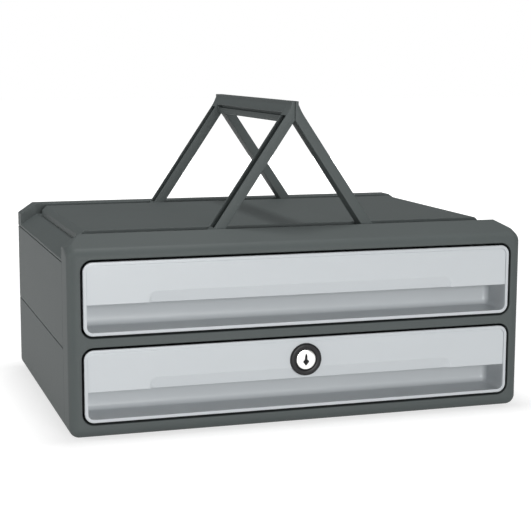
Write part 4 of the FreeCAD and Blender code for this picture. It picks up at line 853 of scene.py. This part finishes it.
# %% Lock collar
TURNS = 144
COLLAR_BORE, COLLAR_RADIUS, COLLAR_BACK = 8.1, 12.75, 2.5
COLLAR = [(COLLAR_BORE, COLLAR_BACK), (COLLAR_BORE, 0.9), (8.25, 0.62), (8.6, 0.35), (9.1, 0.12), (9.8, 0),
          (11.2, 0), (11.7, 0.07), (12.1, 0.25), (12.5, 0.55), (COLLAR_RADIUS, 1.0),
          (COLLAR_RADIUS, COLLAR_BACK), (COLLAR_BORE, COLLAR_BACK)]
lock_low, lock_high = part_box("lock_ring")
LOCK_X, LOCK_Z = (lock_low[0] + lock_high[0]) / 2, (lock_low[2] + lock_high[2]) / 2
angles = np.linspace(0, 2 * math.pi, TURNS, endpoint=False)


def spun(profile, face):
    """Grid of a profile spun round the lock's axis.

    The profile's rows are a radius and a depth behind the face, both in millimetres.
    """
    radius, depth = np.array(profile).T[:, :, None] * MM
    return grid_of(LOCK_X + radius * np.cos(angles), face + depth, LOCK_Z + radius * np.sin(angles))


ring = skinned("lock_collar", spun(COLLAR, lock_low[1]))
adopt(ring, "black_plastic", "lower_drawer", "lock_ring")
print(ring.name, "is", 2 * COLLAR_RADIUS, "mm across")

# %% [markdown]
# The keyway's outline is a narrow slot with a notch on each side.  It could be cut as a boolean, but the
# ring of points round it has to match the rings of the plug's face.  Seen from its own centre it is a
# star shape, so its distance from the centre in any direction is one number, found where a ray meets
# the outline's nearest side.

# %% Keyway
KEYWAY_HALF = [(0.6, -4.5), (1.2, -3.4), (2.4, -2.0), (2.2, -1.1), (1.1, -0.2), (0.9, 2.6), (0.4, 4.4)]
KEYWAY = np.array(KEYWAY_HALF + [(-x, z) for x, z in KEYWAY_HALF[::-1]]) * MM
KEY_CENTRE = np.array([0.0, -1.0]) * MM
NEARLY = 1e-9


def ray_to_outline(corners, directions):
    """Points where rays from the origin first meet a closed outline.

    The ray's line and the side's line are solved at once: each unknown is a cross product divided by the
    cross product of the two directions.  A side is met where its share runs from 0 to 1.
    """
    start, side = corners, np.roll(corners, -1, axis=0) - corners
    cross = directions[:, None, 0] * side[:, 1] - directions[:, None, 1] * side[:, 0]
    cross = np.where(cross == 0, np.inf, cross)
    along = (start[:, 0] * side[:, 1] - start[:, 1] * side[:, 0]) / cross
    share = (start[:, 0] * directions[:, None, 1] - start[:, 1] * directions[:, None, 0]) / cross
    hit = (along > 0) & (share >= -NEARLY) & (share <= 1 + NEARLY)
    return directions * np.min(np.where(hit, along, np.inf), axis=1)[:, None]


rays = np.stack([np.cos(angles), np.sin(angles)], axis=-1)
keyhole = KEY_CENTRE + ray_to_outline(KEYWAY - KEY_CENTRE, rays)
print("keyway:", round(np.ptp(keyhole[:, 1]) / MM, 1), "mm high")

# %% [markdown]
# The plug's face is round at its rim and has the keyway's outline at its middle.  A boolean would leave
# long thin faces there, so the ring of points changes, step by step, from the circle of the rim into the
# keyway's outline, and then goes straight in.  One grid makes the rim, the face, the hole and its floor.

# %% Plug with its keyway
SHANK, SHOULDER, KEY_DEPTH = 5.5 * MM, 1.8 * MM, 4 * MM
RIM, RIM_STEP, RIM_STEP_DEPTH, KEY_EDGE = 0.35 * MM, 0.1 * MM, 0.12 * MM, 0.1 * MM
FACE_SHARES = (0.3, 0.6, 0.85, 0.97)


def plug_grid(face, radius, tail):
    """Rings of points: shank, shoulder, rim, face blending into the keyway, and the keyway's walls."""
    rim = radius - RIM
    rings = [(SHANK * rays, tail), (SHANK * rays, face + SHOULDER), (radius * rays, face + SHOULDER),
             (radius * rays, face + RIM), ((radius - RIM_STEP) * rays, face + RIM_STEP_DEPTH),
             (rim * rays, face)]
    rings += [((1 - share) * rim * rays + share * keyhole, face) for share in FACE_SHARES]
    rings += [(keyhole, face + KEY_EDGE), (keyhole, face + KEY_DEPTH),
              (KEY_CENTRE + 0 * rays, face + KEY_DEPTH)]
    outlines, depths = zip(*rings)
    x, z = np.moveaxis(np.array(outlines), -1, 0)
    return grid_of(LOCK_X + x, np.array(depths)[:, None], LOCK_Z + z)


(plug_left, plug_face, _), (plug_right, plug_tail, _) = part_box("lock_plug")
plug = skinned("lock_plug_turned", plug_grid(plug_face, (plug_right - plug_left) / 2, plug_tail))
adopt(plug, "bright_nickel", "lock_cylinder", "lock_plug")
print(plug.name, "has", len(plug.polygons), "faces")

# %% [markdown]
# ## Fittings that stay as constructed
#
# The slide rails, hinge pins, screws, feet and the works of the lock are seen only when a drawer is open
# or the case is turned over.  They could be made again as the other pieces were, but their construction
# shapes are right, so they only take their finishes.

# %% Finishes for the fittings
for row in frame["record"]["subparts"]:
    fitting = frame["nodes"][row["node"]]
    for held in fitting.material_slots:
        held.material = finishes[row["material_slot"]]

# %% [markdown]
# ## Camera
#
# The object is looked at from the front left and a little above, through a long lens.  A camera can be
# aimed with a constraint, but that leaves no room for a roll.  So right, up and back are worked out from
# two angles and the roll, and the framing can be read and changed.

# %% Camera
IMAGE = 531
AZIMUTH, ELEVATION, ROLL = (math.radians(angle) for angle in (-17.72, 8.59, 0.19))
FOCAL_PIXELS = 1371.7
SENSOR = 36.0
eye = Vector((-0.3485, -1.121, 0.2835))
back = Vector((math.sin(AZIMUTH) * math.cos(ELEVATION), -math.cos(AZIMUTH) * math.cos(ELEVATION),
               math.sin(ELEVATION)))
sideways = Vector((0, 0, 1)).cross(back).normalized()
right = sideways * math.cos(ROLL) + back.cross(sideways) * math.sin(ROLL)
camera = bpy.data.objects.new("camera", bpy.data.cameras.new("camera"))
bpy.context.scene.collection.objects.link(camera)
camera.data.sensor_width = SENSOR
camera.data.lens = FOCAL_PIXELS / IMAGE * SENSOR
pose = Matrix((right, back.cross(right), back)).transposed().to_4x4()
pose.translation = eye
camera.matrix_world = pose
bpy.context.scene.camera = camera
print("lens:", round(camera.data.lens, 1), "mm")

# %% [markdown]
# ## Studio
#
# A white surround with four softboxes, as for a catalogue.  One stands in front, low enough to shine into
# the finger pulls, and one stands at the left.  One at the rear lights the back, and it is kept out of
# reflections, because it would skim over the lid.  A smaller one hangs right above and lays the shadow
# of the crossbar on the lid.  The surround looks white, but it only fills the shadows: seen by the camera
# it has full strength, and for every other ray it is dim.

# %% Studio lights
AMBIENT = 0.2
MIDDLE = (0, 0, 0.08)


def soft_light(name, place, aim, size, power):
    """Square area light that faces a point; its size is in metres and its power in watts."""
    lamp = bpy.data.objects.new(name, bpy.data.lights.new(name, "AREA"))
    bpy.context.scene.collection.objects.link(lamp)
    lamp.data.size = size
    lamp.data.energy = power
    lamp.location = place
    lamp.rotation_euler = (Vector(aim) - Vector(place)).to_track_quat("-Z", "Y").to_euler()
    return lamp


def by_ray(tree, kind, yes, no):
    """Value that is one number for one kind of ray and another for all other rays."""
    choice = tree.nodes.new("ShaderNodeMapRange")
    choice.inputs["To Min"].default_value = no
    choice.inputs["To Max"].default_value = yes
    tree.links.new(tree.nodes.new("ShaderNodeLightPath").outputs[kind], choice.inputs["Value"])
    return choice.outputs["Result"]


surround = bpy.data.worlds.new("white surround")
surround.use_nodes = True
air = surround.node_tree
air.nodes["Background"].inputs["Color"].default_value = (1, 1, 1, 1)
air.links.new(by_ray(air, "Is Camera Ray", 1.0, AMBIENT), air.nodes["Background"].inputs["Strength"])
bpy.context.scene.world = surround
soft_light("front softbox", (0.0, -2.6, 0.36), MIDDLE, 0.9, 45.5)
soft_light("left softbox", (-2.2, -0.1, 0.6), MIDDLE, 0.8, 15)
soft_light("rear softbox", (1.3, 2.5, 0.28), MIDDLE, 1.0, 34).visible_glossy = False
soft_light("overhead softbox", (0, 0, 1.6), (0, 0, 0), 0.36, 13)
print("lights:", ", ".join(light.name for light in bpy.data.lights))

# %% [markdown]
# The floor is a sweep of pale paper.  A real one is lit by lamps of its own, and here it glows instead:
# more the farther it runs from the object, and only for the camera and for reflections, so that it
# doesn't light the object from below.

# %% Floor
FLOOR_REACH, PAPER = 8.0, (0.45, 0.45, 0.45)
GLOW = {"From Min": 0.2, "From Max": 1.2, "To Min": 0.68, "To Max": 1.0}
corners = np.array([(-1, -1, 0), (1, -1, 0), (1, 1, 0), (-1, 1, 0)]) * FLOOR_REACH
ground = bpy.data.meshes.new("floor")
ground.from_pydata(corners.tolist(), [], [(0, 1, 2, 3)])
floor = bpy.data.objects.new("floor", ground)
bpy.context.scene.collection.objects.link(floor)
pale = finish("pale floor", satin, PAPER, 1, {"Roughness low": 0.9, "Roughness high": 0.95}, specular=0.0)
sweep = pale.node_tree
pale_shader = sweep.nodes["Principled BSDF"]
distance = sweep.nodes.new("ShaderNodeVectorMath")
distance.operation = "LENGTH"
sweep.links.new(sweep.nodes.new("ShaderNodeTexCoord").outputs[OBJECT_SPACE], distance.inputs[0])
glow = sweep.nodes.new("ShaderNodeMapRange")
for label, value in GLOW.items():
    glow.inputs[label].default_value = value
sweep.links.new(distance.outputs["Value"], glow.inputs["Value"])
seen_glow = sweep.nodes.new("ShaderNodeMath")
seen_glow.operation = "MULTIPLY"
sweep.links.new(glow.outputs["Result"], seen_glow.inputs[0])
sweep.links.new(by_ray(sweep, "Is Diffuse Ray", 0.0, 1.0), seen_glow.inputs[1])
pale_shader.inputs["Emission Color"].default_value = (1, 1, 1, 1)
sweep.links.new(seen_glow.outputs["Value"], pale_shader.inputs["Emission Strength"])
ground.materials.append(pale)
bpy.context.scene.view_settings.view_transform = "Standard"
print("floor:", 2 * FLOOR_REACH, "m wide")
